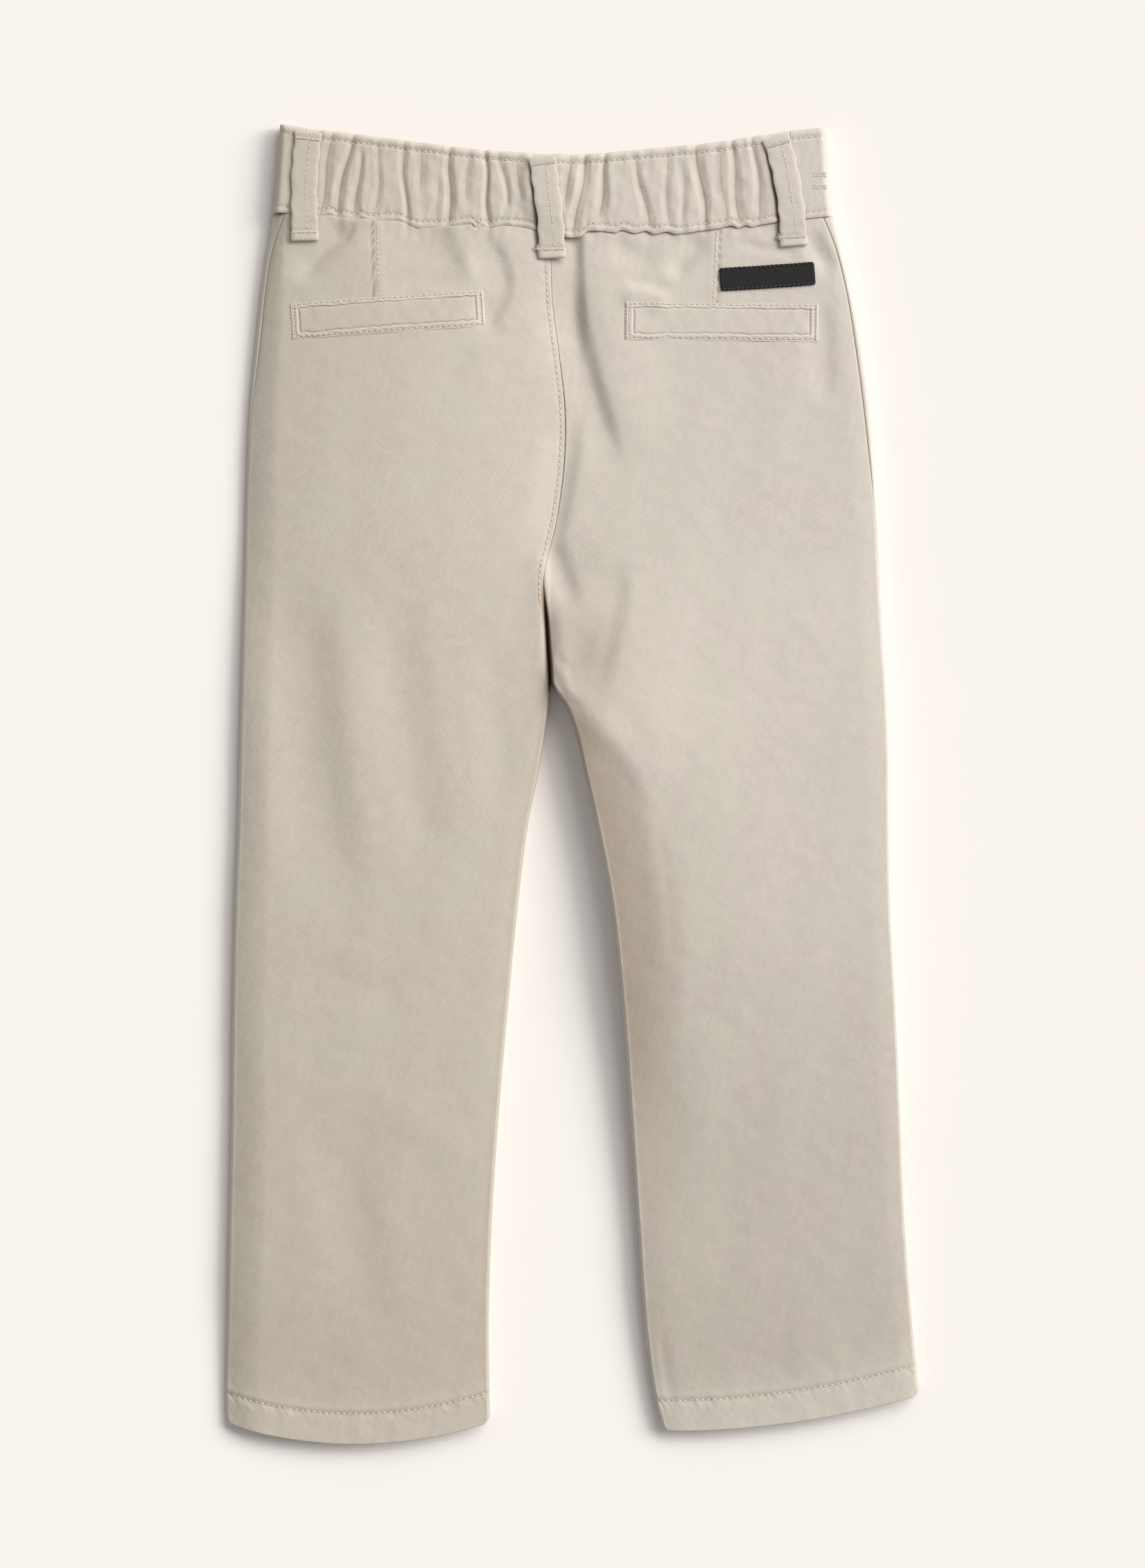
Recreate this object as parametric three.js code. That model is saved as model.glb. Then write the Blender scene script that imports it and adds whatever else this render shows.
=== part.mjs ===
// Child's chino trousers, about size 104, laid flat on their front with the back uppermost.
// Units are millimetres. +Y runs from the hems to the waist, +X is to the right of someone looking
// down at the back, and +Z is up. The trousers rest on z = 0.
// Every piece of cloth is a closed wall: its outer face is worked out from the sections below,
// and its inner face is the same face moved in by the thickness of the cloth.
import * as THREE from "three";

// Driving dimensions
const CLOTH = 1.2; // one layer of twill
const HEM_WALL = 1.9; // the turned-up hem
const HEM_DEPTH = 14;
const LEG_LENGTH = 545; // from the waist seam to the hem
const LEG_WIDTH = 140; // along the cloth of one panel, near enough
const WAIST_SIDE_Y = 259; // the waist seam at the side edges, and the corner above it
const WAIST_CORNER_Y = 300;
const WAISTBAND_WALL = 2.2; // folded twill, with elastic at the back
const SEAM_GAP = 0.3;
const LEG_TOP = 6.1; // height of the upper layer's outer face over the surface
const SEAM_HEIGHT = 2.2; // height of the side seams and inseams on the rolled edge
const BEAD = 2.4; // radius of the rolled edge
const GROOVE_BEAD = 2.0; // the same where the two legs press together
const OUTER_DROP = 1.5; // how far the upper layer slopes down towards the outer edges
const INNER_DROP = 1.7; // and towards the inner edges
const CROTCH_Y = 46;
const GROOVE_TOP_Y = 96; // the centre back seam sinks between the legs from here to the crotch
const GROOVE_FULL_Y = 66;
const GROOVE_END_Y = 10; // below this the inner edges have the ordinary radius
const FRONT_CURL_Y = 66; // the centre front seam rises to the crotch from here
const CENTRE_FRONT_X = -9.8;
const WAISTBAND_TOP = 7.0;
const WAISTBAND_SEAM_HEIGHT = 3.2;
const WAISTBAND_BEAD = 3.3;
const WAISTBAND_EDGE_ROUND = 0.9; // the folded upper edge turns down by this much
const WAISTBAND_EDGE_SHARE = 0.93; // over the last share of the waistband's depth
const BACK_WAISTBAND_LEFT_X = -121.5; // its joints lie under the outer belt loops
const BACK_WAISTBAND_RIGHT_X = 98.5;
const FRONT_OVERLAP_X = 2.2; // end of the front waistband that buttons over the other
const LOOP_WIDTH = 12.6;
const LOOP_WALL = 1.5;
const LOOP_FOLD = 0.9; // extra thickness of the turned-in lower end
const LOOP_FOLD_LENGTH = 4.5;
const LOOP_CROWN = 0.35; // how much thicker a loop is along its middle
const BUTTON = { x: CENTRE_FRONT_X, y: 271, radius: 6.6, thickness: 1.5, rim: 1.2, dish: 0.5, bevel: 0.4 };
const BUTTON_ROOM = { height: BUTTON.thickness + SEAM_GAP, flat: 9.3, fade: 18, share: 0.65 };

// Cross-sections of the garment, from the waist to the hems: the plan positions of the outer edge
// and of the centre seam or inner edge of each leg
const SECTIONS = [
  { y: 302, outL: -133.2, inL: -10.8, inR: -10.8, outR: 115.3 },
  { y: 262, outL: -136.4, inL: -10.8, inR: -10.8, outR: 118.3 },
  { y: 240, outL: -140.0, inL: -10.0, inR: -10.0, outR: 123.4 },
  { y: 218, outL: -142.8, inL: -9.1, inR: -9.1, outR: 128.3 },
  { y: 195, outL: -145.2, inL: -6.1, inR: -6.1, outR: 132.2 },
  { y: 170, outL: -147.4, inL: -3.3, inR: -3.3, outR: 135.4 },
  { y: 145, outL: -148.5, inL: -3.8, inR: -3.8, outR: 137.4 },
  { y: 120, outL: -149.2, inL: -7.3, inR: -7.3, outR: 138.8 },
  { y: 95, outL: -149.7, inL: -12.8, inR: -12.8, outR: 139.9 },
  { y: 70, outL: -150.4, inL: -11.5, inR: -11.5, outR: 141.2 },
  { y: 46, outL: -151.0, inL: -9.9, inR: -9.9, outR: 142.6 },
  { y: 36, outL: -151.3, inL: -10.7, inR: -3.3, outR: 143.1 },
  { y: 22, outL: -151.7, inL: -12.6, inR: 1.6, outR: 143.6 },
  { y: 8, outL: -152.0, inL: -14.9, inR: 4.8, outR: 143.9 },
  { y: -20, outL: -152.7, inL: -20.5, inR: 11.2, outR: 144.0 },
  { y: -55, outL: -154.0, inL: -24.8, inR: 17.6, outR: 144.6 },
  { y: -100, outL: -155.0, inL: -29.2, inR: 22.4, outR: 147.1 },
  { y: -150, outL: -155.6, inL: -33.5, inR: 26.2, outR: 149.3 },
  { y: -200, outL: -156.6, inL: -36.8, inR: 29.6, outR: 151.4 },
  { y: -245, outL: -157.5, inL: -38.2, inR: 32.8, outR: 154.8 },
  { y: -275, outL: -158.1, inL: -37.9, inR: 36.7, outR: 157.9 },
  { y: -303, outL: -157.4, inL: -37.2, inR: 43.3, outR: 160.6 },
];

// The width over which the upper layer slopes down to each of those edges
const SLOPES = [
  { y: 302, outL: 6, inL: 4, inR: 4, outR: 6 },
  { y: 262, outL: 6, inL: 4, inR: 4, outR: 6 },
  { y: 218, outL: 10, inL: 4, inR: 4, outR: 10 },
  { y: 170, outL: 12, inL: 4, inR: 4, outR: 13 },
  { y: 120, outL: 13, inL: 4, inR: 6, outR: 14 },
  { y: 70, outL: 13, inL: 5, inR: 10, outR: 14 },
  { y: 36, outL: 13, inL: 8, inR: 14, outR: 14 },
  { y: 8, outL: 13, inL: 11, inR: 24, outR: 14 },
  { y: -20, outL: 13, inL: 11, inR: 29, outR: 14 },
  { y: -55, outL: 14, inL: 11, inR: 28, outR: 13 },
  { y: -100, outL: 14, inL: 10, inR: 22, outR: 13 },
  { y: -150, outL: 15, inL: 9, inR: 15, outR: 12 },
  { y: -200, outL: 15, inL: 9, inR: 9, outR: 11 },
  { y: -303, outL: 13, inL: 9, inR: 8, outR: 9 },
];

// How far in from the outer edge each side seam shows on the upper layer
const SIDE_SEAM = [
  { y: 262, left: 6.2, right: 5.6 },
  { y: 248, left: 3.4, right: 3.2 },
  { y: 232, left: 2.2, right: 2.4 },
  { y: 200, left: 2.2, right: 2.9 },
  { y: 165, left: 1.0, right: 2.8 },
  { y: 120, left: 0.2, right: 1.0 },
  { y: 80, left: 0, right: 0.2 },
  { y: -303, left: 0, right: 0 },
];

// The seam under the waistband and the waistband's upper edge, across the garment
const WAIST = [
  { x: -140, seam: 259.8, top: 301.6 },
  { x: -118, seam: 258.7, top: 297.6 },
  { x: -96, seam: 256.8, top: 294.8 },
  { x: -71, seam: 254.6, top: 291.6 },
  { x: -40, seam: 252.4, top: 287.9 },
  { x: -8, seam: 250.5, top: 286.2 },
  { x: 6, seam: 250.2, top: 286.0 },
  { x: 39, seam: 250.9, top: 288.8 },
  { x: 70, seam: 252.9, top: 292.0 },
  { x: 100, seam: 256.0, top: 297.0 },
  { x: 124, seam: 258.6, top: 299.2 },
];

// The hem of each leg: y at the inner and outer edges, and how far the middle hangs below them
const HEMS = {
  L: { inner: -290.6, outer: -291.4, bow: 9.4 },
  R: { inner: -294.6, outer: -278.2, bow: 4.2 },
};

// The largest folds of the upper layer. Each runs from start past bend to end; rise is positive for
// a ridge and negative for a trough, and near and far are its widths to the left and right of its run.
const FOLDS = [
  // trough beside the centre back seam
  { start: [2.5, 250], bend: [-1, 205], end: [20, 152], rise: -1.7, near: 5, far: 15 },
  { start: [11, 236], bend: [14, 200], end: [34, 140], rise: 0.9, near: 8, far: 16 },
  // creases that run from the waist to the pockets
  { start: [-99, 254], bend: [-110, 240], end: [-126, 228], rise: -1.1, near: 4, far: 7 },
  { start: [-40, 246], bend: [-24, 236], end: [-33, 224], rise: -0.9, near: 4, far: 5 },
  { start: [-41, 222], bend: [-38, 210], end: [-31, 200], rise: -0.9, near: 3.5, far: 5 },
  { start: [58, 250], bend: [52, 240], end: [44, 230], rise: -1.0, near: 5, far: 5 },
  { start: [20, 222], bend: [34, 226], end: [46, 216], rise: 0.9, near: 4, far: 5 },
  { start: [107, 252], bend: [109, 243], end: [119, 232], rise: -0.9, near: 4, far: 4 },
  { start: [112, 222], bend: [115, 200], end: [115, 170], rise: -0.8, near: 4, far: 7 },
  // folds that meet at the crotch
  { start: [2, 160], bend: [1, 135], end: [-10, 112], rise: -1.1, near: 6, far: 5 },
  { start: [-7, 103], bend: [-1, 92], end: [4, 80], rise: -1.2, near: 4, far: 4 },
  { start: [21, 96], bend: [29, 82], end: [18, 38], rise: -1.0, near: 8, far: 5 },
  { start: [-26, 130], bend: [-22, 95], end: [-25, 50], rise: -0.6, near: 6, far: 8 },
  // long soft folds down the legs
  { start: [-116, 120], bend: [-114, 55], end: [-103, 5], rise: -1.0, near: 12, far: 9 },
  { start: [-72, 80], bend: [-64, 40], end: [-60, -5], rise: -0.7, near: 9, far: 9 },
  { start: [-116, -5], bend: [-108, -45], end: [-93, -70], rise: 0.9, near: 9, far: 8 },
  { start: [37, 0], bend: [46, -60], end: [44, -130], rise: 0.8, near: 9, far: 12 },
  { start: [-80, -140], bend: [-66, -160], end: [-44, -172], rise: 0.5, near: 9, far: 9 },
];

// Gathers of the elastic waistband: the plan x of each valley at the upper edge and at the seam,
// its depth and its half width
const GATHERS = [
  { top: -109, seam: -112, depth: 1.5, width: 2.6 },
  { top: -100, seam: -105, depth: 2.0, width: 2.4 },
  { top: -94, seam: -96, depth: 1.2, width: 2.6 },
  { top: -87, seam: -90, depth: 1.1, width: 2.8 },
  { top: -77, seam: -73, depth: 1.6, width: 2.6 },
  { top: -70, seam: -68, depth: 1.1, width: 2.4 },
  { top: -62, seam: -61, depth: 0.8, width: 2.6 },
  { top: -55.5, seam: -56.5, depth: 2.1, width: 2.4 },
  { top: -47, seam: -49, depth: 0.7, width: 2.6 },
  { top: -40, seam: -38, depth: 2.0, width: 2.4 },
  { top: -33, seam: -28, depth: 1.3, width: 2.6 },
  { top: -25, seam: -23, depth: 1.1, width: 2.4 },
  { top: -1.5, seam: -3.5, depth: 1.5, width: 2.6 },
  { top: 6, seam: 0.5, depth: 1.8, width: 2.4 },
  { top: 15.5, seam: 11, depth: 1.8, width: 2.6 },
  { top: 28, seam: 35, depth: 1.6, width: 3.0 },
  { top: 42, seam: 44, depth: 1.0, width: 3.0 },
  { top: 49, seam: 51, depth: 0.8, width: 2.6 },
  { top: 56, seam: 61, depth: 2.0, width: 2.6 },
  { top: 66, seam: 70, depth: 0.9, width: 2.4 },
  { top: 72, seam: 76, depth: 1.7, width: 2.6 },
  { top: 82, seam: 86, depth: 1.5, width: 2.6 },
];
const GATHER_PUFF = 0.5; // the cloth bulges by this much between the valleys
const GATHER_END_LOSS = 0.35; // share of a gather's depth that is lost at the seam and the edge
const SCALLOP_SHARE = 0.35; // how far each gather draws the upper edge down, for its depth
const PLAIN_END = 8; // the last stretch of the elastic part is flat

// Belt loops: points on the centre line in plan, from the upper edge down, and the room under each
const BELT_LOOPS = [
  { name: "belt_loop_left", line: [[-119.9, 296.2], [-121.6, 278], [-121.8, 262], [-121.5, 246.6]], lift: 1.4 },
  { name: "belt_loop_centre", line: [[-13.8, 284.8], [-12.0, 271], [-10.0, 256], [-9.3, 238.8]], lift: 2.0 },
  { name: "belt_loop_right", line: [[92.4, 293.6], [96.4, 279], [99.3, 262], [100.6, 244.4]], lift: 2.4 },
];

// Patches on the upper layer: centre, size and turn in degrees
const POCKETS = [
  { name: "pocket_welt_left", x: -84.1, y: 213.1, width: 88.4, height: 16.6, turn: 3.8, reach: 1.5 },
  { name: "pocket_welt_right", x: 67.8, y: 210.0, width: 88.0, height: 17.2, turn: -0.6, reach: 1.5 },
];
const WELT = { margin: 2.6, groove: 0.8, borderTop: 1.6, grooveTop: 1.3, weltTop: 1.9 };
const LABEL_TOP = 1.35;
const LABEL = { name: "label_patch", x: 88.6, y: 230.6, width: 43.2, height: 10.8, turn: 4.2, reach: 1 };

const lerp = (a, b, f) => a + (b - a) * f;
const clamp = (v, low, high) => Math.min(Math.max(v, low), high);
const smooth = (low, high, v) => {
  const f = clamp((v - low) / (high - low), 0, 1);
  return f * f * (3 - 2 * f);
};

// A smooth curve through one column of a table whose rows run along key
function along(table, key, column, at) {
  const falling = table[0][key] > table[table.length - 1][key];
  let i = 0;
  while (i < table.length - 2 && (falling ? table[i + 1][key] > at : table[i + 1][key] < at)) i++;
  const a = table[i];
  const b = table[i + 1];
  const span = b[key] - a[key];
  const f = clamp((at - a[key]) / span, 0, 1);
  const before = table[Math.max(i - 1, 0)];
  const after = table[Math.min(i + 2, table.length - 1)];
  const slopeA = ((b[column] - before[column]) / (b[key] - before[key])) * span;
  const slopeB = ((after[column] - a[column]) / (after[key] - a[key])) * span;
  const f2 = f * f;
  const f3 = f2 * f;
  return (2 * f3 - 3 * f2 + 1) * a[column] + (f3 - 2 * f2 + f) * slopeA
    + (3 * f2 - 2 * f3) * b[column] + (f3 - f2) * slopeB;
}

const outerX = (side, y) => along(SECTIONS, "y", "out" + side, y);
const innerX = (side, y) => along(SECTIONS, "y", y > CROTCH_Y ? "inL" : "in" + side, y);
const outerSlope = (side, y) => along(SLOPES, "y", "out" + side, y);
const innerSlope = (side, y) => along(SLOPES, "y", "in" + side, y);
const seamInset = (side, y) => Math.max(along(SIDE_SEAM, "y", side === "L" ? "left" : "right", y), 0);
const waistSeamY = (x) => along(WAIST, "x", "seam", x);
const waistTopY = (x) => along(WAIST, "x", "top", x);
const outward = (side) => (side === "L" ? -1 : 1);

function hemY(side, share) {
  const hem = HEMS[side];
  return lerp(hem.inner, hem.outer, share) - hem.bow * (1 - (2 * share - 1) ** 2);
}

// The height that one fold adds at a point
const FOLD_STEPS = 14;
function foldHeight(fold, x, y) {
  let best = Infinity;
  let run = 0;
  let side = 0;
  let px = fold.start[0];
  let py = fold.start[1];
  for (let k = 1; k <= FOLD_STEPS; k++) {
    const u = k / FOLD_STEPS;
    const qx = (1 - u) ** 2 * fold.start[0] + 2 * u * (1 - u) * fold.bend[0] + u * u * fold.end[0];
    const qy = (1 - u) ** 2 * fold.start[1] + 2 * u * (1 - u) * fold.bend[1] + u * u * fold.end[1];
    const dx = qx - px;
    const dy = qy - py;
    const f = clamp(((x - px) * dx + (y - py) * dy) / (dx * dx + dy * dy), 0, 1);
    const away = Math.hypot(x - px - f * dx, y - py - f * dy);
    if (away < best) {
      best = away;
      run = u - (1 - f) / FOLD_STEPS;
      side = dx * (y - py) - dy * (x - px);
    }
    px = qx;
    py = qy;
  }
  const width = side > 0 ? fold.near : fold.far;
  const across = clamp(1 - (best / (2 * width)) ** 2, 0, 1) ** 3;
  const ends = smooth(0, 0.3, run) * smooth(0, 0.3, 1 - run);
  return fold.rise * across * ends;
}

// Height of the upper layer's outer face, inside its rolled edges
function backHeight(side, x, y) {
  const fromOuter = Math.abs(outerX(side, y) - x);
  const fromInner = Math.abs(x - innerX(side, y));
  const sunk = 1 - smooth(GROOVE_FULL_Y, GROOVE_TOP_Y, y);
  const outerDrop = OUTER_DROP * clamp(1 - fromOuter / outerSlope(side, y), 0, 1) ** 2;
  const innerDrop = sunk * INNER_DROP * clamp(1 - fromInner / innerSlope(side, y), 0, 1) ** 2;
  const edgeFade = smooth(0, 7, fromOuter) * lerp(1, smooth(0, 6, fromInner), sunk);
  const folds = FOLDS.reduce((sum, fold) => sum + foldHeight(fold, x, y), 0);
  return LEG_TOP - outerDrop - innerDrop + folds * edgeFade;
}

// A point on the curve of one row of a leg piece. u is 0 at the inner seam and 1 at the side seam;
// the curve runs along the upper layer for the back and along the surface for the front.
function legPoint(side, layer, u, t) {
  const back = layer === "back";
  const topInner = innerX(side, waistSeamY(CENTRE_FRONT_X));
  const topOuter = outerX(side, WAIST_SIDE_Y);
  const yInner = lerp(waistSeamY(topInner), hemY(side, 0), t);
  const yOuter = lerp(waistSeamY(topOuter), hemY(side, 1), t);
  const seamX = back || yInner < CROTCH_Y ? innerX(side, yInner) : CENTRE_FRONT_X;
  const sign = outward(side);
  const xOuter = outerX(side, yOuter);
  const width = Math.abs(xOuter - seamX);

  // how far the inner seam has turned down (or up) from the flat: a right angle on the inseam
  const turned = back
    ? 1 - smooth(GROOVE_FULL_Y, GROOVE_TOP_Y, yInner)
    : 1 - smooth(CROTCH_Y, FRONT_CURL_Y, yInner);
  const innerBead = back ? lerp(BEAD, GROOVE_BEAD, smooth(GROOVE_END_Y, CROTCH_Y, yInner)) : BEAD;
  const firstAngle = (1 - turned) * (Math.PI / 2);
  const flatGap = SEAM_GAP / 2;

  // lengths along the curve: inner roll, flat stretch, outer roll, and the wrap to the side seam
  const innerArc = innerBead * (Math.PI / 2 - firstAngle);
  const innerReach = innerBead * Math.cos(firstAngle);
  const flat = width - flatGap - innerReach - BEAD;
  const outerArc = (BEAD * Math.PI) / 2;
  const inset = seamInset(side, yOuter);
  const wrap = inset < BEAD ? BEAD * Math.acos(1 - inset / BEAD) : outerArc + inset - BEAD;
  const whole = innerArc + flat + outerArc + (back ? -wrap : wrap);
  const first = turned * (SEAM_GAP / 2);
  const s = lerp(first, whole - SEAM_GAP / 2, u);
  let x;
  let bead = 1; // share of the full height that the roll has reached
  let upper = back;
  if (s < innerArc) {
    const angle = firstAngle + s / innerBead;
    x = seamX + sign * (flatGap + innerReach - innerBead * Math.cos(angle));
    bead = Math.sin(angle);
  } else if (s < innerArc + flat) {
    x = seamX + sign * (flatGap + innerReach + s - innerArc);
  } else {
    const past = s - innerArc - flat;
    const angle = Math.PI / 2 - past / BEAD;
    if (angle > -Math.PI / 2) {
      x = xOuter - sign * (BEAD - BEAD * Math.cos(angle));
      bead = Math.sin(Math.abs(angle));
    } else {
      x = xOuter - sign * (BEAD + past - BEAD * Math.PI);
    }
    if (!back && angle < 0) upper = true;
  }
  const share = clamp(Math.abs(x - seamX) / width, 0, 1);
  const xTop = lerp(topInner, topOuter, share);
  const y = lerp(waistSeamY(xTop) - SEAM_GAP / 2, hemY(side, share), t);
  const z = upper
    ? SEAM_HEIGHT + (backHeight(side, x, y) - SEAM_HEIGHT) * bead
    : SEAM_HEIGHT * (1 - bead);
  return new THREE.Vector3(x, y, z);
}

// A closed wall from a grid of outer points. place(u, v) gives the outer face, thickness(u, v)
// the wall, and flip is -1 when u and v turn the other way round. Along an edge where two pieces
// meet, both turn their end faces to the same direction: beyond tells how far past the edge, as a
// share of u, that direction is taken, and the first and last rows end squarely to the length.
const NUDGE = 2e-4;
function wall(uStops, vStops, place, thickness, flip = 1, beyond = 0) {
  const outer = [];
  const inner = [];
  for (const v of vStops) {
    for (const u of uStops) {
      const p = place(u, v);
      const at = u === 1 ? 1 + beyond : u === 0 ? -beyond : u;
      const [uHigh, uLow] = [u === 1 ? at : at + NUDGE, u === 0 ? at : at - NUDGE];
      const du = place(uHigh, v).sub(place(uLow, v));
      const dv = place(at, Math.min(v + NUDGE, 1)).sub(place(at, Math.max(v - NUDGE, 0)));
      const normal = du.cross(dv).multiplyScalar(flip);
      if (v === 0 || v === 1) normal.y = 0;
      normal.normalize();
      outer.push(p);
      inner.push(p.clone().addScaledVector(normal, -thickness(u, v)));
    }
  }
  return closed(outer, inner, uStops.length, vStops.length);
}

// Joins an outer and an inner grid of points into one closed body with its faces out
function closed(outer, inner, columns, rows) {
  const points = [...outer, ...inner];
  const base = outer.length;
  const index = [];
  const quad = (a, b, c, d) => index.push(a, b, c, a, c, d);
  for (let r = 0; r + 1 < rows; r++) {
    for (let c = 0; c + 1 < columns; c++) {
      const at = r * columns + c;
      quad(at, at + 1, at + columns + 1, at + columns);
      quad(base + at, base + at + columns, base + at + columns + 1, base + at + 1);
    }
    const first = r * columns;
    const last = first + columns - 1;
    quad(first, first + columns, base + first + columns, base + first);
    quad(last, base + last, base + last + columns, last + columns);
  }
  for (let c = 0; c + 1 < columns; c++) {
    const end = (rows - 1) * columns + c;
    quad(c, base + c, base + c + 1, c + 1);
    quad(end, end + 1, base + end + 1, base + end);
  }
  let volume = 0;
  for (let i = 0; i < index.length; i += 3) {
    const [a, b, c] = [points[index[i]], points[index[i + 1]], points[index[i + 2]]];
    volume += a.dot(b.clone().cross(c));
  }
  if (volume < 0) index.reverse();
  const geometry = new THREE.BufferGeometry();
  const numbers = points.flatMap((p) => [p.x, p.y, p.z]);
  geometry.setAttribute("position", new THREE.Float32BufferAttribute(numbers, 3));
  geometry.setIndex(index);
  geometry.computeVertexNormals();
  return geometry;
}

const spaced = (count, ease = (f) => f) => Array.from({ length: count + 1 }, (_, i) => ease(i / count));

const twill = new THREE.MeshStandardMaterial({ color: 0xccc3b6, roughness: 0.85, metalness: 0 });
const woven = new THREE.MeshStandardMaterial({ color: 0x454145, roughness: 0.8, metalness: 0 });
const horn = new THREE.MeshStandardMaterial({ color: 0xbfb3a2, roughness: 0.35, metalness: 0 });

const trousers = new THREE.Group();
function add(name, geometry, material = twill) {
  const mesh = new THREE.Mesh(geometry, material);
  mesh.name = name;
  trousers.add(mesh);
  return mesh;
}

// Leg pieces. Columns are close together on the rolled edges, and rows near the waist.
const ROWS = 30;
const rowEase = (f) => f * (0.6 + 0.4 * f);
function columnStops(edgeShares, middle) {
  const [first, last] = [edgeShares[edgeShares.length - 1], 1 - edgeShares[edgeShares.length - 1]];
  const between = spaced(middle).map((f) => lerp(first, last, f));
  return [...edgeShares.slice(0, -1), ...between, ...edgeShares.slice(0, -1).reverse().map((f) => 1 - f)];
}
const BACK_COLUMNS = columnStops([0, 0.011, 0.024, 0.05], 13);
const FRONT_COLUMNS = [0, 0.011, 0.024, 0.06, 0.22, 0.38, 0.54, 0.7, 0.86, 0.91, 0.94, 0.965, 0.982, 1];
const hemTop = 1 - HEM_DEPTH / LEG_LENGTH;
const hemStep = 2 / LEG_LENGTH; // the wall thickens to the hem over 2 mm
const legRows = [...spaced(ROWS, rowEase).map((f) => f * hemTop), hemTop + hemStep, 1];
const legWall = (u, t) => (t > hemTop + hemStep / 2 ? HEM_WALL : CLOTH);
const HALF_GAP_SHARE = SEAM_GAP / 2 / LEG_WIDTH;
for (const [side, name] of [["L", "left"], ["R", "right"]]) {
  add("back_leg_" + name, wall(BACK_COLUMNS, legRows,
    (u, t) => legPoint(side, "back", u, t), legWall, -outward(side), HALF_GAP_SHARE));
  add("front_leg_" + name, wall(FRONT_COLUMNS, legRows,
    (u, t) => legPoint(side, "front", u, t), legWall, outward(side), HALF_GAP_SHARE));
}

// The cloth over the button stands up from the surface, and the upper layer by a share of that
function buttonRoom(x, y) {
  const away = Math.hypot(x - BUTTON.x, y - BUTTON.y);
  return BUTTON_ROOM.height * (1 - smooth(BUTTON_ROOM.flat, BUTTON_ROOM.fade, away));
}

// The waistband's upper layer: gathers run from its seam to its folded upper edge
function gathered(x, v) {
  let lowest = 0;
  for (const g of GATHERS) {
    const away = Math.abs(x - lerp(g.seam, g.top, v)) / (2 * g.width);
    lowest = Math.max(lowest, g.depth * clamp(1 - away * away, 0, 1) ** 2);
  }
  let free = smooth(BACK_WAISTBAND_LEFT_X, BACK_WAISTBAND_LEFT_X + PLAIN_END, x)
    * (1 - smooth(BACK_WAISTBAND_RIGHT_X - PLAIN_END, BACK_WAISTBAND_RIGHT_X, x));
  for (const loop of BELT_LOOPS) {
    const loopX = lerp(loop.line[3][0], loop.line[0][0], v);
    free *= smooth(0.4 * LOOP_WIDTH, 0.7 * LOOP_WIDTH, Math.abs(x - loopX));
  }
  return (GATHER_PUFF - lowest * (1 - GATHER_END_LOSS * (2 * v - 1) ** 2)) * free;
}
const edgeTurn = (v) => WAISTBAND_EDGE_ROUND * smooth(WAISTBAND_EDGE_SHARE, 1, v);
function waistbandHeight(x, v) {
  const y = lerp(waistSeamY(x), waistTopY(x), v);
  return WAISTBAND_TOP + gathered(x, v) + BUTTON_ROOM.share * buttonRoom(x, y) - edgeTurn(v);
}
function waistbandY(x, v) {
  const scallop = SCALLOP_SHARE * gathered(x, v);
  return lerp(waistSeamY(x) + SEAM_GAP / 2, waistTopY(x) + scallop, v);
}
const WAISTBAND_ROWS = [0, 0.12, 0.36, 0.62, 0.86, 0.94, 1];
const WAISTBAND_COLUMNS = 88;
add("waistband_back", wall(spaced(WAISTBAND_COLUMNS), WAISTBAND_ROWS, (u, v) => {
  const x = lerp(BACK_WAISTBAND_LEFT_X + SEAM_GAP / 2, BACK_WAISTBAND_RIGHT_X - SEAM_GAP / 2, u);
  return new THREE.Vector3(x, waistbandY(x, v), waistbandHeight(x, v));
}, () => WAISTBAND_WALL));

// Front waistband pieces run along the surface from their end at the centre front, and round the
// side edge to the joint under the outer belt loop.
function frontWaistbandPoint(side, u, v) {
  const sign = outward(side);
  const edgeX = outerX(side, lerp(WAIST_SIDE_Y, WAIST_CORNER_Y, v));
  const endX = FRONT_OVERLAP_X + (sign * SEAM_GAP) / 2;
  const jointX = side === "L" ? BACK_WAISTBAND_LEFT_X : BACK_WAISTBAND_RIGHT_X;
  const flat = Math.abs(edgeX - endX) - WAISTBAND_BEAD;
  const arc = WAISTBAND_BEAD * Math.PI;
  const over = Math.abs(edgeX - jointX) - WAISTBAND_BEAD - SEAM_GAP / 2;
  const s = u * (flat + arc + over);
  const angle = clamp(Math.PI / 2 - (s - flat) / WAISTBAND_BEAD, -Math.PI / 2, Math.PI / 2);
  let x = edgeX - sign * (WAISTBAND_BEAD - WAISTBAND_BEAD * Math.cos(angle));
  if (s < flat) x = endX + sign * s;
  if (s > flat + arc) x = edgeX - sign * (WAISTBAND_BEAD + s - flat - arc);
  const y = lerp(waistSeamY(x) + SEAM_GAP / 2, waistTopY(x), v);
  const reach = Math.sin(Math.abs(angle));
  const z = angle < 0
    ? lerp(WAISTBAND_SEAM_HEIGHT, WAISTBAND_TOP - edgeTurn(v), reach)
    : WAISTBAND_SEAM_HEIGHT * (1 - reach) + buttonRoom(x, y);
  return new THREE.Vector3(x, y, z);
}
const FRONT_WAISTBAND_ROWS = [0, 0.2, 0.36, 0.58, 0.8, 0.94, 1];
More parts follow.
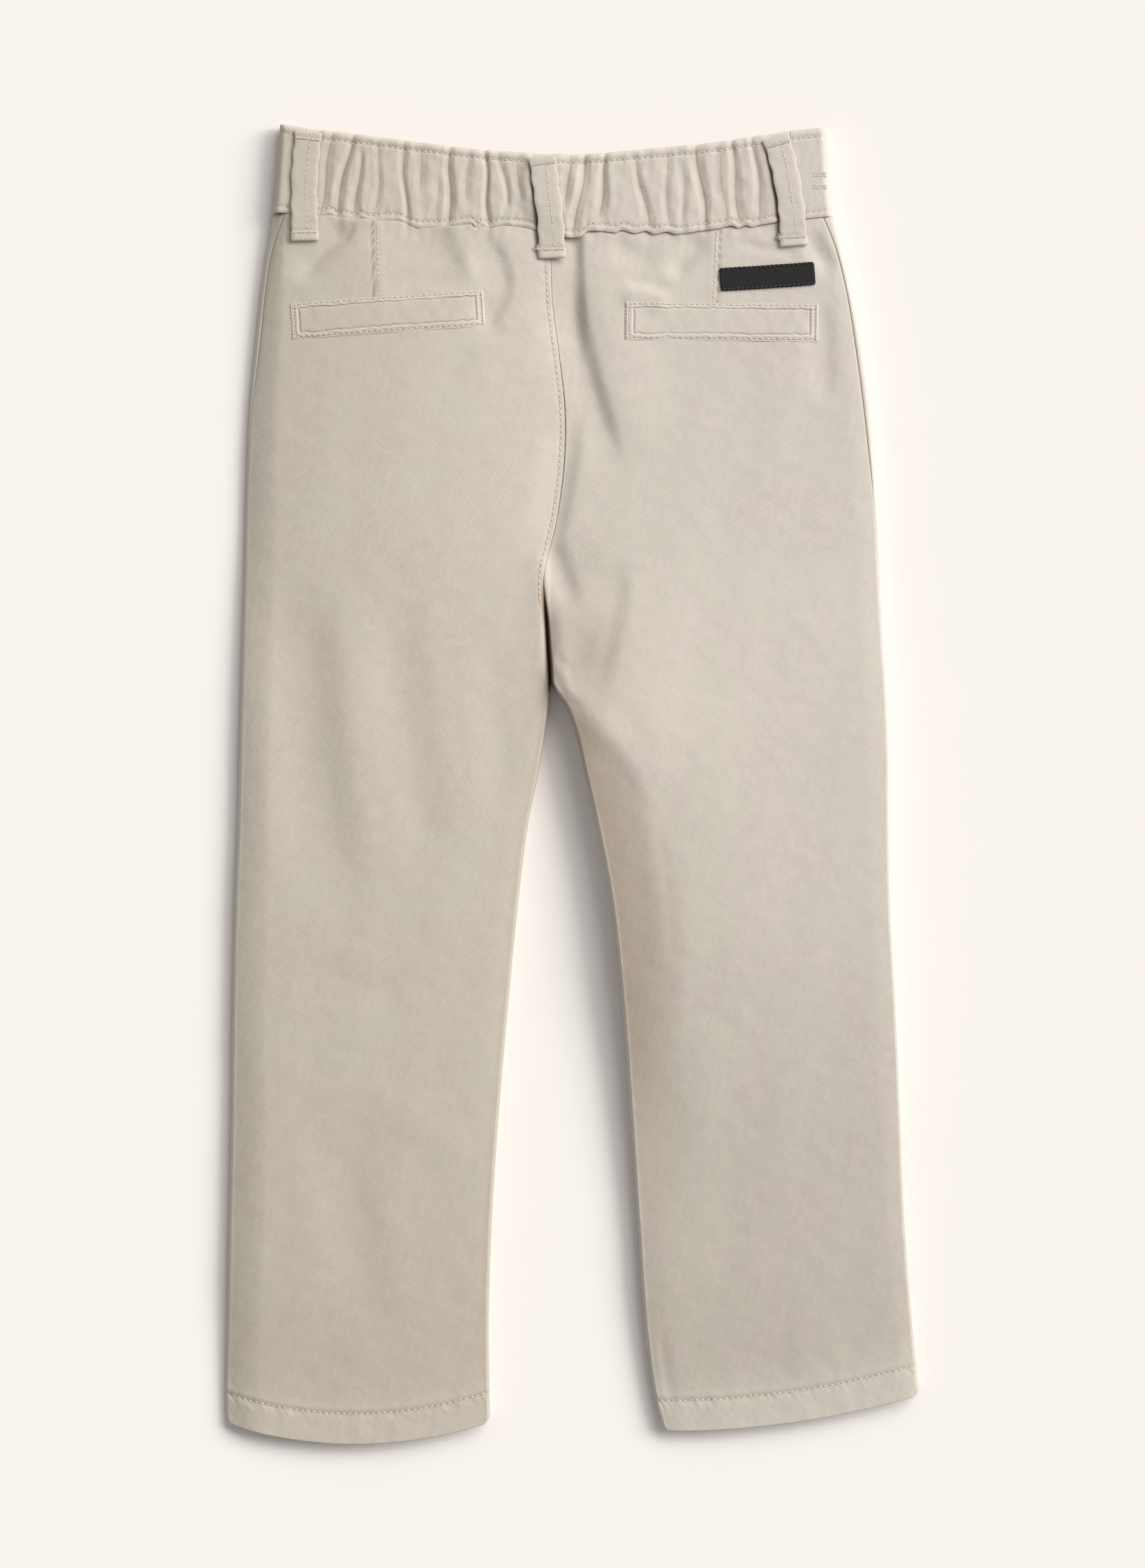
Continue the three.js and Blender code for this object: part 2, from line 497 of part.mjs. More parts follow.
const FRONT_WAISTBAND_COLUMNS = {
  L: [0, 0.03, 0.06, 0.09, 0.12, 0.16, 0.2, 0.33, 0.46, 0.58, 0.7, 0.83, 0.85, 0.868, 0.884, 0.9, 0.92, 1],
  R: [0, 0.04, 0.08, 0.2, 0.35, 0.5, 0.65, 0.785, 0.805, 0.828, 0.85, 0.872, 0.9, 1],
};
for (const [side, name] of [["L", "left"], ["R", "right"]]) {
  add("waistband_front_" + name, wall(FRONT_WAISTBAND_COLUMNS[side], FRONT_WAISTBAND_ROWS,
    (u, v) => frontWaistbandPoint(side, u, v), () => WAISTBAND_WALL, -outward(side)));
}

// Height of the uppermost face within reach of a plan point, found by looking down on the pieces
// made so far. What is sewn on to the cloth rests on it.
const cloth = trousers.children.slice();
cloth.forEach((mesh) => mesh.geometry.computeBoundingSphere());
const EYE_HEIGHT = 50;
const down = new THREE.Vector3(0, 0, -1);
const looker = new THREE.Raycaster();
function topHeight(x, y, reach) {
  let top = 0;
  for (const dx of [-reach, 0, reach]) {
    for (const dy of [-reach, 0, reach]) {
      looker.set(new THREE.Vector3(x + dx, y + dy, EYE_HEIGHT), down);
      const hit = looker.intersectObjects(cloth)[0];
      if (hit) top = Math.max(top, hit.point.z);
    }
  }
  return top;
}

// Belt loops: a strip over the waistband, sewn down above and below, that stands off it between
function beltLoop(loop) {
  const line = new THREE.CatmullRomCurve3(loop.line.map(([x, y]) => new THREE.Vector3(x, y, 0)));
  const foldStart = 1 - LOOP_FOLD_LENGTH / line.getLength();
  const stops = spaced(15);
  const across = [-0.5, -0.25, 0, 0.25, 0.5];
  const upper = [];
  const lower = [];
  for (const t of stops) {
    const centre = line.getPointAt(t);
    const tangent = line.getTangentAt(t);
    const reach = across.map((w) => new THREE.Vector2(
      centre.x - tangent.y * w * LOOP_WIDTH, centre.y + tangent.x * w * LOOP_WIDTH));
    const rest = Math.max(...reach.map((p) => topHeight(p.x, p.y, 1.5)));
    const lift = loop.lift * Math.sin(Math.PI * t) ** 1.5;
    const fold = LOOP_FOLD * smooth(foldStart - 0.02, foldStart, t);
    for (const [i, p] of reach.entries()) {
      const crown = LOOP_CROWN * (1 - (2 * across[i]) ** 2);
      const bottom = rest + SEAM_GAP + lift;
      lower.push(new THREE.Vector3(p.x, p.y, bottom));
      upper.push(new THREE.Vector3(p.x, p.y, bottom + LOOP_WALL + fold + crown));
    }
  }
  return closed(upper, lower, across.length, stops.length);
}
for (const loop of BELT_LOOPS) add(loop.name, beltLoop(loop));

// A patch that follows the cloth under it. heights(a, b) gives its upper face over that cloth at
// plan distances a and b from its centre.
function patch(spec, columns, rows, heights) {
  const turn = THREE.MathUtils.degToRad(spec.turn);
  const upper = [];
  const lower = [];
  for (const b of rows) {
    for (const a of columns) {
      const x = spec.x + a * Math.cos(turn) - b * Math.sin(turn);
      const y = spec.y + a * Math.sin(turn) + b * Math.cos(turn);
      const rest = topHeight(x, y, spec.reach);
      lower.push(new THREE.Vector3(x, y, rest + SEAM_GAP));
      upper.push(new THREE.Vector3(x, y, rest + heights(a, b)));
    }
  }
  return closed(upper, lower, columns.length, rows.length);
}

// Welt pockets: a stitched border, a groove, and the raised welt inside it
const SLACK = 0.01;
for (const pocket of POCKETS) {
  const [halfW, halfH] = [pocket.width / 2, pocket.height / 2];
  const edges = (half) => [half, half - WELT.margin, half - WELT.margin - WELT.groove];
  const weltHalf = edges(halfW)[2];
  const alongWelt = spaced(11, (f) => lerp(-weltHalf, weltHalf, f)).slice(1, -1);
  const columns = [...edges(halfW).map((e) => -e), ...alongWelt, ...edges(halfW).reverse()];
  const rows = [...edges(halfH).map((e) => -e), 0, ...edges(halfH).reverse()];
  add(pocket.name, patch(pocket, columns, rows, (a, b) => {
    const inside = Math.min(halfW - Math.abs(a), halfH - Math.abs(b));
    if (inside < WELT.margin - SLACK) return WELT.borderTop;
    return inside < WELT.margin + WELT.groove - SLACK ? WELT.grooveTop : WELT.weltTop;
  }));
}

add(LABEL.name, patch(LABEL, spaced(8, (f) => lerp(-LABEL.width / 2, LABEL.width / 2, f)),
  spaced(3, (f) => lerp(-LABEL.height / 2, LABEL.height / 2, f)), () => LABEL_TOP), woven);

// The fly button, dished inside its rim, faces the surface
const { radius, thickness, rim, dish, bevel } = BUTTON;
const profile = [[0, dish], [radius - rim - dish, dish], [radius - rim, 0], [radius - bevel, 0],
  [radius, bevel], [radius, thickness - bevel], [radius - bevel, thickness], [0, thickness]];
const buttonBody = new THREE.LatheGeometry(profile.map(([r, z]) => new THREE.Vector2(r, z)), 28);
buttonBody.rotateX(Math.PI / 2);
const button = add("button_front", buttonBody, horn);
button.position.set(BUTTON.x, BUTTON.y, 0);

export default trousers;
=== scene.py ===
"""Child's chino trousers in beige twill, laid flat with the back uppermost.

Lengths in the tables are millimetres in the frame's own axes: +Y runs from the hems to the waist,
+X is to the right of someone looking down at the back, and +Z is up from the surface.
"""

import bpy
import numpy as np
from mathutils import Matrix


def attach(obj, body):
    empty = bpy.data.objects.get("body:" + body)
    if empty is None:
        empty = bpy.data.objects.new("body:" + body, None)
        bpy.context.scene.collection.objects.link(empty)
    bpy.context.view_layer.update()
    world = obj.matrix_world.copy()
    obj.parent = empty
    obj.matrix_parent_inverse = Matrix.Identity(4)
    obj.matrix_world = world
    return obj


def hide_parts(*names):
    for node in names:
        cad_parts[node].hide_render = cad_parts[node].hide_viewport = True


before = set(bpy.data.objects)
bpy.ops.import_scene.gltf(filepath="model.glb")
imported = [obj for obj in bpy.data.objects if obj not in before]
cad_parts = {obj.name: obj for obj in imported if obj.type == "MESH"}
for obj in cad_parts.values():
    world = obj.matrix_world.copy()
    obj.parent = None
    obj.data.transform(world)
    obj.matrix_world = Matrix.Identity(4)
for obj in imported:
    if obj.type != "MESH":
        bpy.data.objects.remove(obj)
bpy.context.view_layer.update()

MM = 0.001
SIGN = {"left": -1, "right": 1}

# Sizes of the cloth and its edges
CLOTH = 1.0  # one layer of twill
HEM_WALL = 1.8  # the turned-up hem
HEM_DEPTH = 14
HEM_CORNER = 4  # the hems' corners are rounded over this width, by this much
HEM_CORNER_RISE = 2.4
LEG_LENGTH = 545  # from the waist seam to the hem
WAIST_SIDE_Y = 259  # the waist seam at the side edges, and the corner above it
WAIST_CORNER_Y = 300
WAISTBAND_WALL = 2.1
SEAM_GAP = 0.08
LEG_TOP = 8.4  # height of the upper layer over the surface
SEAM_HEIGHT = 2.2  # height of the side seams and inseams on the rolled edge
BEAD = 1.5  # radius of the rolled edge
INNER_BEAD = 1.2  # the same along the inseams
GROOVE_BEAD = 1.2  # and where the two legs press together
OUTER_DROP = {"left": 3.2, "right": 0.9}
OUTER_WIDEN = {"left": 1.12, "right": 0.8}
CROWN = 0.9  # each leg is a little higher along its middle
GATHER_SHARE = 0.46
INNER_DROP = {"left": 0.5, "right": 2.7}
THIGH_RISE = 9.2  # the right leg stands higher near the crotch, most of all beside its inner slope
THIGH_SPREAD = 60
SEAT_RISE = 2.7  # the left half of the seat is domed about this x
SEAT_X = -70
HEM_PALE = {"left": 0.22, "right": 0.45}  # how much paler the cloth is towards the hems
HEM_SAG = 2.2  # the legs get thinner towards the hems
HEM_SAG_DEPTH = 80
CROTCH_Y = 46
GROOVE_TOP_Y = 96  # the centre back seam sinks between the legs from here to the crotch
GROOVE_FULL_Y = 66
GROOVE_END_Y = 10
FRONT_CURL_Y = 66
CENTRE_FRONT_X = -9.8
WAISTBAND_TOP = 8.9
WAISTBAND_SEAM_HEIGHT = 3.2
WAISTBAND_BEAD = 3.3
BACK_WAISTBAND_LEFT_X = -121.5
BACK_WAISTBAND_RIGHT_X = 98.5
FRONT_OVERLAP_X = 2.2
LOOP_WIDTH = 12.0
LOOP_WALL = 1.0
BUTTON_X, BUTTON_Y = -9.8, 271
BUTTON_ROOM = 1.8  # the cloth beside the button stands off the surface by this much
BUTTON_ROOM_LEVEL, BUTTON_ROOM_END = 9.3, 18  # over these distances from the button
BUTTON_SHARE = 0.65  # of that room, what the waistband's upper side rises by

# Sewing
STITCH_PITCH = 2.6
STITCH_LENGTH = 2.05
THREAD_RADIUS = 0.27
TACK_RADIUS = 0.17
HOLE_RADIUS = 0.2
TOP_STITCH_INSET = 4.0  # below the waistband's upper edge
BOTTOM_STITCH_INSET = 3.1  # above the waist seam
SEAM_STITCH_INSET = 2.3  # left of the centre back seam
DART_STITCH_INSET = 2.0


def table(names, *rows):
    """The columns of a short table, by name."""
    return dict(zip(names.split(), np.array(rows, float).T))


def named_rows(names, *rows):
    """The rows of a short table, by their first column. Each has its other columns by name."""
    return {name: dict(zip(names.split(), values)) for name, *values in rows}


# Cross-sections from the waist to the hems: the outer edge, and the centre seam or inner edge
SECTIONS = table(
    "y out_left in_left in_right out_right",
    (302, -133.2, -10.8, -10.8, 115.3),
    (262, -136.4, -10.8, -10.8, 118.3),
    (240, -140.0, -10.0, -10.0, 123.4),
    (218, -142.8, -9.1, -9.1, 128.3),
    (195, -145.2, -6.1, -6.1, 132.2),
    (170, -147.4, -3.3, -3.3, 135.4),
    (145, -148.5, -3.8, -3.8, 137.4),
    (120, -149.2, -7.3, -7.3, 138.8),
    (95, -149.7, -12.8, -12.8, 139.9),
    (70, -150.4, -11.5, -11.5, 141.2),
    (46, -151.0, -9.9, -9.9, 142.6),
    (36, -151.3, -10.7, -3.3, 143.1),
    (22, -151.7, -12.6, 1.6, 143.6),
    (8, -152.0, -14.9, 4.8, 143.9),
    (-20, -152.7, -20.5, 11.2, 144.0),
    (-55, -154.0, -24.8, 17.6, 144.6),
    (-100, -155.0, -29.2, 22.4, 147.1),
    (-150, -155.6, -33.5, 26.2, 149.3),
    (-200, -156.6, -36.8, 29.6, 151.4),
    (-245, -157.5, -38.2, 32.8, 154.8),
    (-275, -158.1, -37.9, 36.7, 157.9),
    (-303, -157.4, -37.2, 43.3, 160.6),
)

# The width over which the upper layer slopes down to each of those edges
SLOPES = table(
    "y out_left in_left in_right out_right",
    (302, 6, 4, 4, 6),
    (262, 6, 4, 4, 6),
    (218, 10, 4, 4, 10),
    (170, 12, 4, 4, 13),
    (120, 13, 4, 6, 14),
    (70, 13, 5, 8, 14),
    (36, 13, 8, 10, 14),
    (8, 13, 11, 25, 14),
    (-20, 13, 11, 31, 14),
    (-55, 14, 11, 33, 13),
    (-100, 14, 10, 29, 13),
    (-125, 14, 10, 25, 13),
    (-160, 15, 9, 29, 12),
    (-185, 15, 9, 20, 12),
    (-210, 15, 9, 12, 11),
    (-303, 13, 9, 9, 9),
)

# How far in from the outer edge each side seam shows on the upper layer
SIDE_SEAM = table(
    "y left right",
    (262, 6.2, 5.6),
    (248, 3.4, 3.2),
    (232, 2.2, 2.4),
    (200, 2.2, 2.9),
    (165, 1.0, 2.8),
    (120, 0.2, 1.0),
    (80, 0, 0.2),
    (-303, 0, 0),
)

# The seam under the waistband and the waistband's upper edge, across the garment
WAIST = table(
    "x seam top",
    (-140, 259.8, 301.6),
    (-118, 258.7, 297.6),
    (-96, 256.8, 294.8),
    (-71, 254.6, 291.6),
    (-40, 252.4, 287.9),
    (-8, 250.5, 286.2),
    (6, 250.2, 286.0),
    (39, 250.9, 288.8),
    (70, 252.9, 292.0),
    (100, 256.0, 297.0),
    (124, 258.6, 299.2),
)

# How far the gathers pull the waist seam up or down along its length
SCALLOPS = table(
    "x rise",
    (-124, 0),
    (-115, -0.6),
    (-110, 0.5),
    (-106.4, -1.4),
    (-104.4, -0.6),
    (-98.3, -1.1),
    (-96.4, 0.1),
    (-92.2, -1.1),
    (-84, 0.2),
    (-78, 0.3),
    (-74.2, -1.3),
    (-68.5, -2.0),
    (-58, -0.8),
    (-46, 1.2),
    (-43.6, -0.9),
    (-41.4, 0.9),
    (-38.2, 0.0),
    (-31.5, 1.7),
    (-21, 1.3),
    (-12, -0.6),
    (-2.7, -1.9),
    (1.2, -1.9),
    (4.2, -1.3),
    (6.8, 0.8),
    (13.4, 0.9),
    (19.5, 0.1),
    (22.2, 1.2),
    (28, -0.3),
    (33.4, 0.5),
    (36.9, -1.0),
    (43, -0.2),
    (47.1, -1.5),
    (56.7, -0.8),
    (67.7, -0.1),
    (72.4, 0.5),
    (75.2, -0.7),
    (78.6, 0.1),
    (81.3, -1.0),
    (85.4, -0.4),
    (92, -0.1),
    (100, 0),
)

# The hem of each leg: y at its inner and outer edges, and how far the middle hangs below them
HEMS = {
    "left": {"inner": -290.6, "outer": -291.4, "bow": 9.4},
    "right": {"inner": -294.6, "outer": -278.2, "bow": 4.2},
}

# Folds of the upper layer. Each runs from its start (x0, y0) past its bend to its end. Rise is
# positive for a ridge, and near and far are its widths to the left and the right of its run.
FOLDS = table(
    "x0 y0 x1 y1 x2 y2 rise near far",
    (-2, 292, 0.5, 238, 2.5, 180, -1.4, 3.2, 12),
    (-2, 234, 3, 188, 23, 138, -1.7, 4, 12),
    (11, 252, 13, 200, 34, 140, 1.1, 14, 9),
    (-99, 258, -110, 242, -129, 227, -1.4, 4, 7),
    (-52, 256, -12, 229, -50, 200, -1.3, 3.5, 10),
    (-41, 223, -38, 210, -31, 199, -0.5, 3.5, 5),
    (60, 251, 53, 240, 43, 229, -1.3, 4, 5),
    (19, 221, 34, 227, 47, 215, 1.1, 4, 5),
    (107, 253, 109, 243, 120, 231, -1.1, 4, 4),
    (-70, 268, -66, 246, -50, 228, -2.0, 7, 20),
    (16, 247, 26, 238, 40, 240, -0.6, 4, 5),
    (112, 222, 115, 200, 115, 170, -0.8, 4, 7),
    (1, 174, -3, 138, -13, 98, -1.6, 4.5, 8),
    (-10, 112, -6, 97, 2, 78, -1.3, 4, 5),
    (-8, 118, -12, 75, -6, 22, -1.9, 16, 3),
    (20, 108, 21, 72, 5, 36, -1.4, 5, 13),
    (2, 27, 26, 22, 38, -10, 0.6, 14, 5),
    (6, 72, 2, 60, 0, 48, -0.6, 5, 6),
    (-38, 72, -34, 20, -30, -20, -0.6, 9, 8),
    (-128, 108, -125, 28, -103, -74, -1.7, 12, 15),
    (-104, 95, -98, 20, -92, -50, 0.5, 9, 9),
    (-80, 90, -78, 22, -62, -48, -0.95, 10, 9),
    (-112, -142, -102, -190, -84, -262, -0.9, 11, 12),
    (-128, -80, -100, -98, -72, -92, -0.5, 8, 8),
    (58, -100, 60, -130, 56, -165, 0.4, 9, 12),
    (-80, -140, -66, -160, -44, -172, 0.4, 9, 9),
)

# Finer creases, in the same columns
CREASES = table(
    "x0 y0 x1 y1 x2 y2 rise near far",
    (-98.3, 256, -100.5, 250, -106, 244, -0.5, 1.0, 1.8),
    (1.5, 285, 2.3, 240, 5, 186, -0.4, 1.5, 4),
    (-101, 256, -109, 244, -124, 231, -0.45, 1.8, 3),
    (-9, 52, -5, 51, -1, 53, 0.3, 1.5, 2),
    (-52, 243, -46, 236, -44, 226, 0.4, 3, 3),
    (-88, 228.5, -64, 227.5, -40, 228.5, -0.35, 4, 4),
    (-46, 199, -51, 190, -59, 180, -0.35, 5, 5),
    (22, 227, 34, 230, 46, 221, -0.4, 2.5, 2.5),
    (73.8, 246.2, 92, 242, 105.4, 241.5, -0.5, 2.2, 2.5),
    (-11.4, 49, -20, 46, -29, 41, -0.35, 2, 3),
    (-11.4, 38, -18, 32, -26, 22, -0.3, 2, 3),
    (-8, 57.3, -3, 54, 1, 50, -0.5, 2, 2.5),
    (-5.5, 52.5, -2, 44, 1, 36, 0.35, 1.5, 2),
    (18.6, 41, 28, 26, 36, 6.5, -0.4, 5, 6),
    (30, 4, 40, -40, 41, -95, 0.3, 3, 5),
    (-106, -142, -92, -158, -81, -176, -0.35, 8, 8),
    (-93, -217, -80, -232, -65, -249, 0.3, 10, 10),
    (96, -258, 112, -262, 127, -258, 0.3, 10, 10),
    (47, -290, 42, -270, 40, -245, -0.4, 2, 3),
)

# Shallow folds of the lower layer, in the same columns. They rise off the surface beneath.
FRONT_FOLDS = table(
    "x0 y0 x1 y1 x2 y2 rise near far",
    (-16, 62, -42, 80, -80, 86, 0.7, 4, 6),
    (-18, 48, -46, 44, -76, 28, 0.6, 4, 5),
    (0, 60, 30, 76, 68, 78, 0.7, 5, 4),
    (8, 42, 36, 36, 64, 18, 0.5, 5, 4),
    (-106, 44, -100, -40, -90, -122, 0.6, 8, 7),
    (-66, -20, -74, -90, -86, -152, 0.5, 6, 9),
    (98, 22, 90, -50, 84, -132, 0.6, 7, 8),
    (54, -88, 64, -140, 86, -182, 0.5, 6, 8),
    (-112, -168, -98, -205, -72, -234, 0.4, 8, 7),
    (118, -188, 104, -222, 82, -246, 0.4, 7, 8),
)

# Gathers of the elastic waistband: x of each valley at the upper edge and at the seam, its depth
# and half width, and the shares of the band's depth between which it shows
GATHERS = table(
    "top seam depth width low high",
    (-109, -115, 1.5, 2.2, 0, 1),
    (-100, -108, 2.0, 2.0, 0, 1),
    (-95.5, -99, 1.5, 2.2, 0, 0.8),
    (-87, -90, 1.1, 2.6, 0.1, 1),
    (-77, -75.5, 1.6, 2.2, 0, 1),
    (-70, -68, 1.1, 2.2, 0.45, 1),
    (-62, -61, 0.8, 2.4, 0, 0.6),
    (-55.5, -56.5, 2.1, 2.0, 0, 1),
    (-47, -49, 0.7, 2.4, 0.3, 1),
    (-40, -38, 2.0, 2.0, 0, 1),
    (-33, -28, 1.3, 2.2, 0.3, 1),
    (-25, -23, 1.1, 2.2, 0.4, 1),
    (-1.5, -3.5, 1.5, 2.2, 0.35, 1),
    (6, 0.5, 1.8, 2.2, 0, 1),
    (15.5, 11, 1.8, 2.4, 0.2, 1),
    (28, 35, 1.6, 2.8, 0, 0.9),
    (42, 44, 1.0, 2.8, 0.1, 1),
    (49, 51, 0.8, 2.4, 0, 0.8),
    (56, 61, 2.0, 2.4, 0, 1),
    (66, 70, 0.9, 2.2, 0, 1),
    (72, 76, 1.7, 2.4, 0, 1),
    (82, 86, 1.5, 2.4, 0, 1),
)
GATHER_PUFF = 0.5
PLAIN_END = 8

# Darts from the waist seam to the pockets. The stitches are to the side that sew names.
DARTS = table(
    "x0 y0 x1 y1 sew",
    (-90.9, 255.7, -90.2, 221.0, 1),
    (67.5, 252.6, 65.9, 216.9, -1),
)

# Belt loops: four points of the centre line from the upper edge down, how far the middle stands
# off, the width of the painted shadow in the gap beside it, and the loop's length
LOOPS = named_rows(
    "x y lift gap length",
    ("belt_loop_left", (-119.9, -121.6, -121.8, -121.5), (296.2, 278, 262, 246.6), 0.15, 0, 0.050),
    ("belt_loop_centre", (-13.8, -12.0, -10.0, -9.3), (284.8, 271, 256, 238.8), 0.45, 0.75, 0.047),
    ("belt_loop_right", (92.4, 96.4, 99.3, 100.6), (293.6, 279, 262, 244.4), 0.5, 0.8, 0.050),
)

# Pockets: centre, size, turn in degrees, and the end where the opening gapes most
POCKETS = named_rows(
    "x y width height turn gape",
    ("pocket_welt_left", -84.1, 213.1, 88.4, 16.6, 3.8, -1),
    ("pocket_welt_right", 67.8, 210.0, 88.0, 17.2, -0.6, 1),
)
LABEL = {"x": 88.6, "y": 230.6, "width": 43.2, "height": 10.8, "turn": 4.2}


def lerp(a, b, f):
    return a + (b - a) * f


def smooth(low, high, v):
    f = np.clip((v - low) / (high - low), 0, 1)
    return f * f * (3 - 2 * f)


def fall(low, high, v):
    return 1 - smooth(low, high, v)


def bump(v, centre, width):
    """A rounded hump of height 1 about centre."""
    return np.exp(-(((v - centre) / width) ** 2))


def by_edge(away, reach):
    """1 at an edge, down to 0 at that distance from it."""
    return np.clip(1 - away / reach, 0, 1)


def along(rows, key, column, at):
    """A smooth curve through one column of a table whose rows run along key."""
    keys, values = rows[key], rows[column]
    if keys[0] > keys[-1]:
        keys, values = keys[::-1], values[::-1]
    a = np.clip(np.searchsorted(keys, at) - 1, 0, len(keys) - 2)
    b = a + 1
    before, after = np.maximum(a - 1, 0), np.minimum(b + 1, len(keys) - 1)
    span = keys[b] - keys[a]
    f = np.clip((at - keys[a]) / span, 0, 1)
    slope_a = (values[b] - values[before]) / (keys[b] - keys[before]) * span
    slope_b = (values[after] - values[a]) / (keys[after] - keys[a]) * span
    f2, f3 = f**2, f**3
    return (
        (2 * f3 - 3 * f2 + 1) * values[a]
        + (f3 - 2 * f2 + f) * slope_a
        + (3 * f2 - 2 * f3) * values[b]
        + (f3 - f2) * slope_b
    )


def undulation(x, y, size, seed):
    """Smooth irregular waves of about that size, from -1 to 1."""
    random = np.random.default_rng(seed)
    total = np.zeros(np.broadcast(x, y).shape)
    count = 9
    for _ in range(count):
        turn = random.uniform(0, 2 * np.pi)
        pace = 2 * np.pi / (size * random.uniform(0.7, 1.5))
        total = total + np.sin(pace * (x * np.cos(turn) + y * np.sin(turn)) + random.uniform(0, 7))
    return total / count**0.5 / 1.2


def fold_heights(folds, x, y):
    """The height that the folds of a table add at plan points."""
    steps = np.linspace(0, 1, 15)
    total = np.zeros(np.broadcast(x, y).shape)
    x, y = np.broadcast_arrays(x, y)
    for x0, y0, x1, y1, x2, y2, rise, near, far in zip(*folds.values()):
        qx = (1 - steps) ** 2 * x0 + 2 * steps * (1 - steps) * x1 + steps**2 * x2
        qy = (1 - steps) ** 2 * y0 + 2 * steps * (1 - steps) * y1 + steps**2 * y2
        reach = 2 * max(near, far)
        inside = (x > qx.min() - reach) & (x < qx.max() + reach)
        inside &= (y > qy.min() - reach) & (y < qy.max() + reach)
        if not inside.any():
            continue
        px, py = x[inside], y[inside]
        best = np.full(px.shape, 1e9)
        run = np.zeros(px.shape)
        width = np.full(px.shape, float(near))
        for k in range(14):
            dx, dy = qx[k + 1] - qx[k], qy[k + 1] - qy[k]
            f = np.clip(((px - qx[k]) * dx + (py - qy[k]) * dy) / (dx * dx + dy * dy), 0, 1)
            away = np.hypot(px - qx[k] - f * dx, py - qy[k] - f * dy)
            closer = away < best
            best = np.where(closer, away, best)
            run = np.where(closer, (k + f) / 14, run)
            left = dx * (py - qy[k]) - dy * (px - qx[k]) > 0
            width = np.where(closer, np.where(left, near, far), width)
        across = np.clip(1 - (best / (2 * width)) ** 2, 0, 1) ** 3
        total[inside] += rise * across * smooth(0, 0.3, run) * smooth(0, 0.3, 1 - run)
    return total


def outer_x(side, y):
    return along(SECTIONS, "y", "out_" + side, y)


def inner_x(side, y):
    return np.where(y > CROTCH_Y, along(SECTIONS, "y", "in_left", y), along(SECTIONS, "y", "in_" + side, y))


def seam_y(x):
    return along(WAIST, "x", "seam", x)


def top_y(x):
    return along(WAIST, "x", "top", x)


def scallop(x):
    inside = smooth(-124, -116, x) * fall(92, 99, x)
    return along(SCALLOPS, "x", "rise", x) * inside


def hem_y(side, share):
    hem = HEMS[side]
    return lerp(hem["inner"], hem["outer"], share) - hem["bow"] * (1 - (2 * share - 1) ** 2)


def valley_depth(x, v):
    """Depth and sharp core of the waistband's gathers at x and share v of its depth."""
    soft = np.zeros(np.broadcast(x, v).shape)
    core = soft.copy()
    for i, (top, seam, depth, width, low, high) in enumerate(zip(*GATHERS.values())):
        sway = 0.7 * np.sin(2.2 * np.pi * v + 1.7 * i)
        away = x - lerp(seam, top, v) - sway
        shown = smooth(low - 0.12, low + 0.12, v) * fall(high - 0.12, high + 0.12, v)
        wide = 0.72 * width * (1 + 0.3 * np.sin(3 * v + i))
        profile = np.clip(1 - (away / (2 * wide)) ** 2, 0, 1) ** 2
        soft = np.maximum(soft, GATHER_SHARE * shown * depth * profile)
        core = np.maximum(core, GATHER_SHARE * shown * depth * bump(away, 0.25, 0.42))
    return soft, core


def elastic_share(x, v):
    """1 where the waistband is gathered, 0 at its plain ends and under the belt loops."""
    free = smooth(BACK_WAISTBAND_LEFT_X, BACK_WAISTBAND_LEFT_X + PLAIN_END, x)
    free = free * fall(BACK_WAISTBAND_RIGHT_X - PLAIN_END, BACK_WAISTBAND_RIGHT_X, x)
    for loop in LOOPS.values():
        middle = lerp(loop["x"][3], loop["x"][0], v)
        free = free * smooth(0.3 * LOOP_WIDTH, 0.65 * LOOP_WIDTH, np.abs(x - middle))
    return free


def loop_x(loop, y):
    line = {key: np.array(loop[key], float) for key in ("y", "x")}
    return along(line, "y", "x", y)


def loop_gap_shadow(x, v):
    """Painted shadow: a dark slit on the cloth along the left edge of the belt loops that stand off the
    waistband.
    """
    dark = np.zeros(np.broadcast(x, v).shape)
    for loop in LOOPS.values():
        y = lerp(seam_y(loop["x"][2]), top_y(loop["x"][0]), v)
        edge = loop_x(loop, y) - LOOP_WIDTH / 2
        wide = loop["gap"] * (0.35 + 0.75 * smooth(0, 0.6, 0.95 - v))
        slit = bump(x, edge - 0.3 * wide, np.maximum(wide, 0.1))
        dark = dark + smooth(0, 0.12, 0.93 - v) * (loop["gap"] > 0) * slit
    return dark


def button_room(x, y):
    away = np.hypot(x - BUTTON_X, y - BUTTON_Y)
    return BUTTON_ROOM * fall(BUTTON_ROOM_LEVEL, BUTTON_ROOM_END, away)


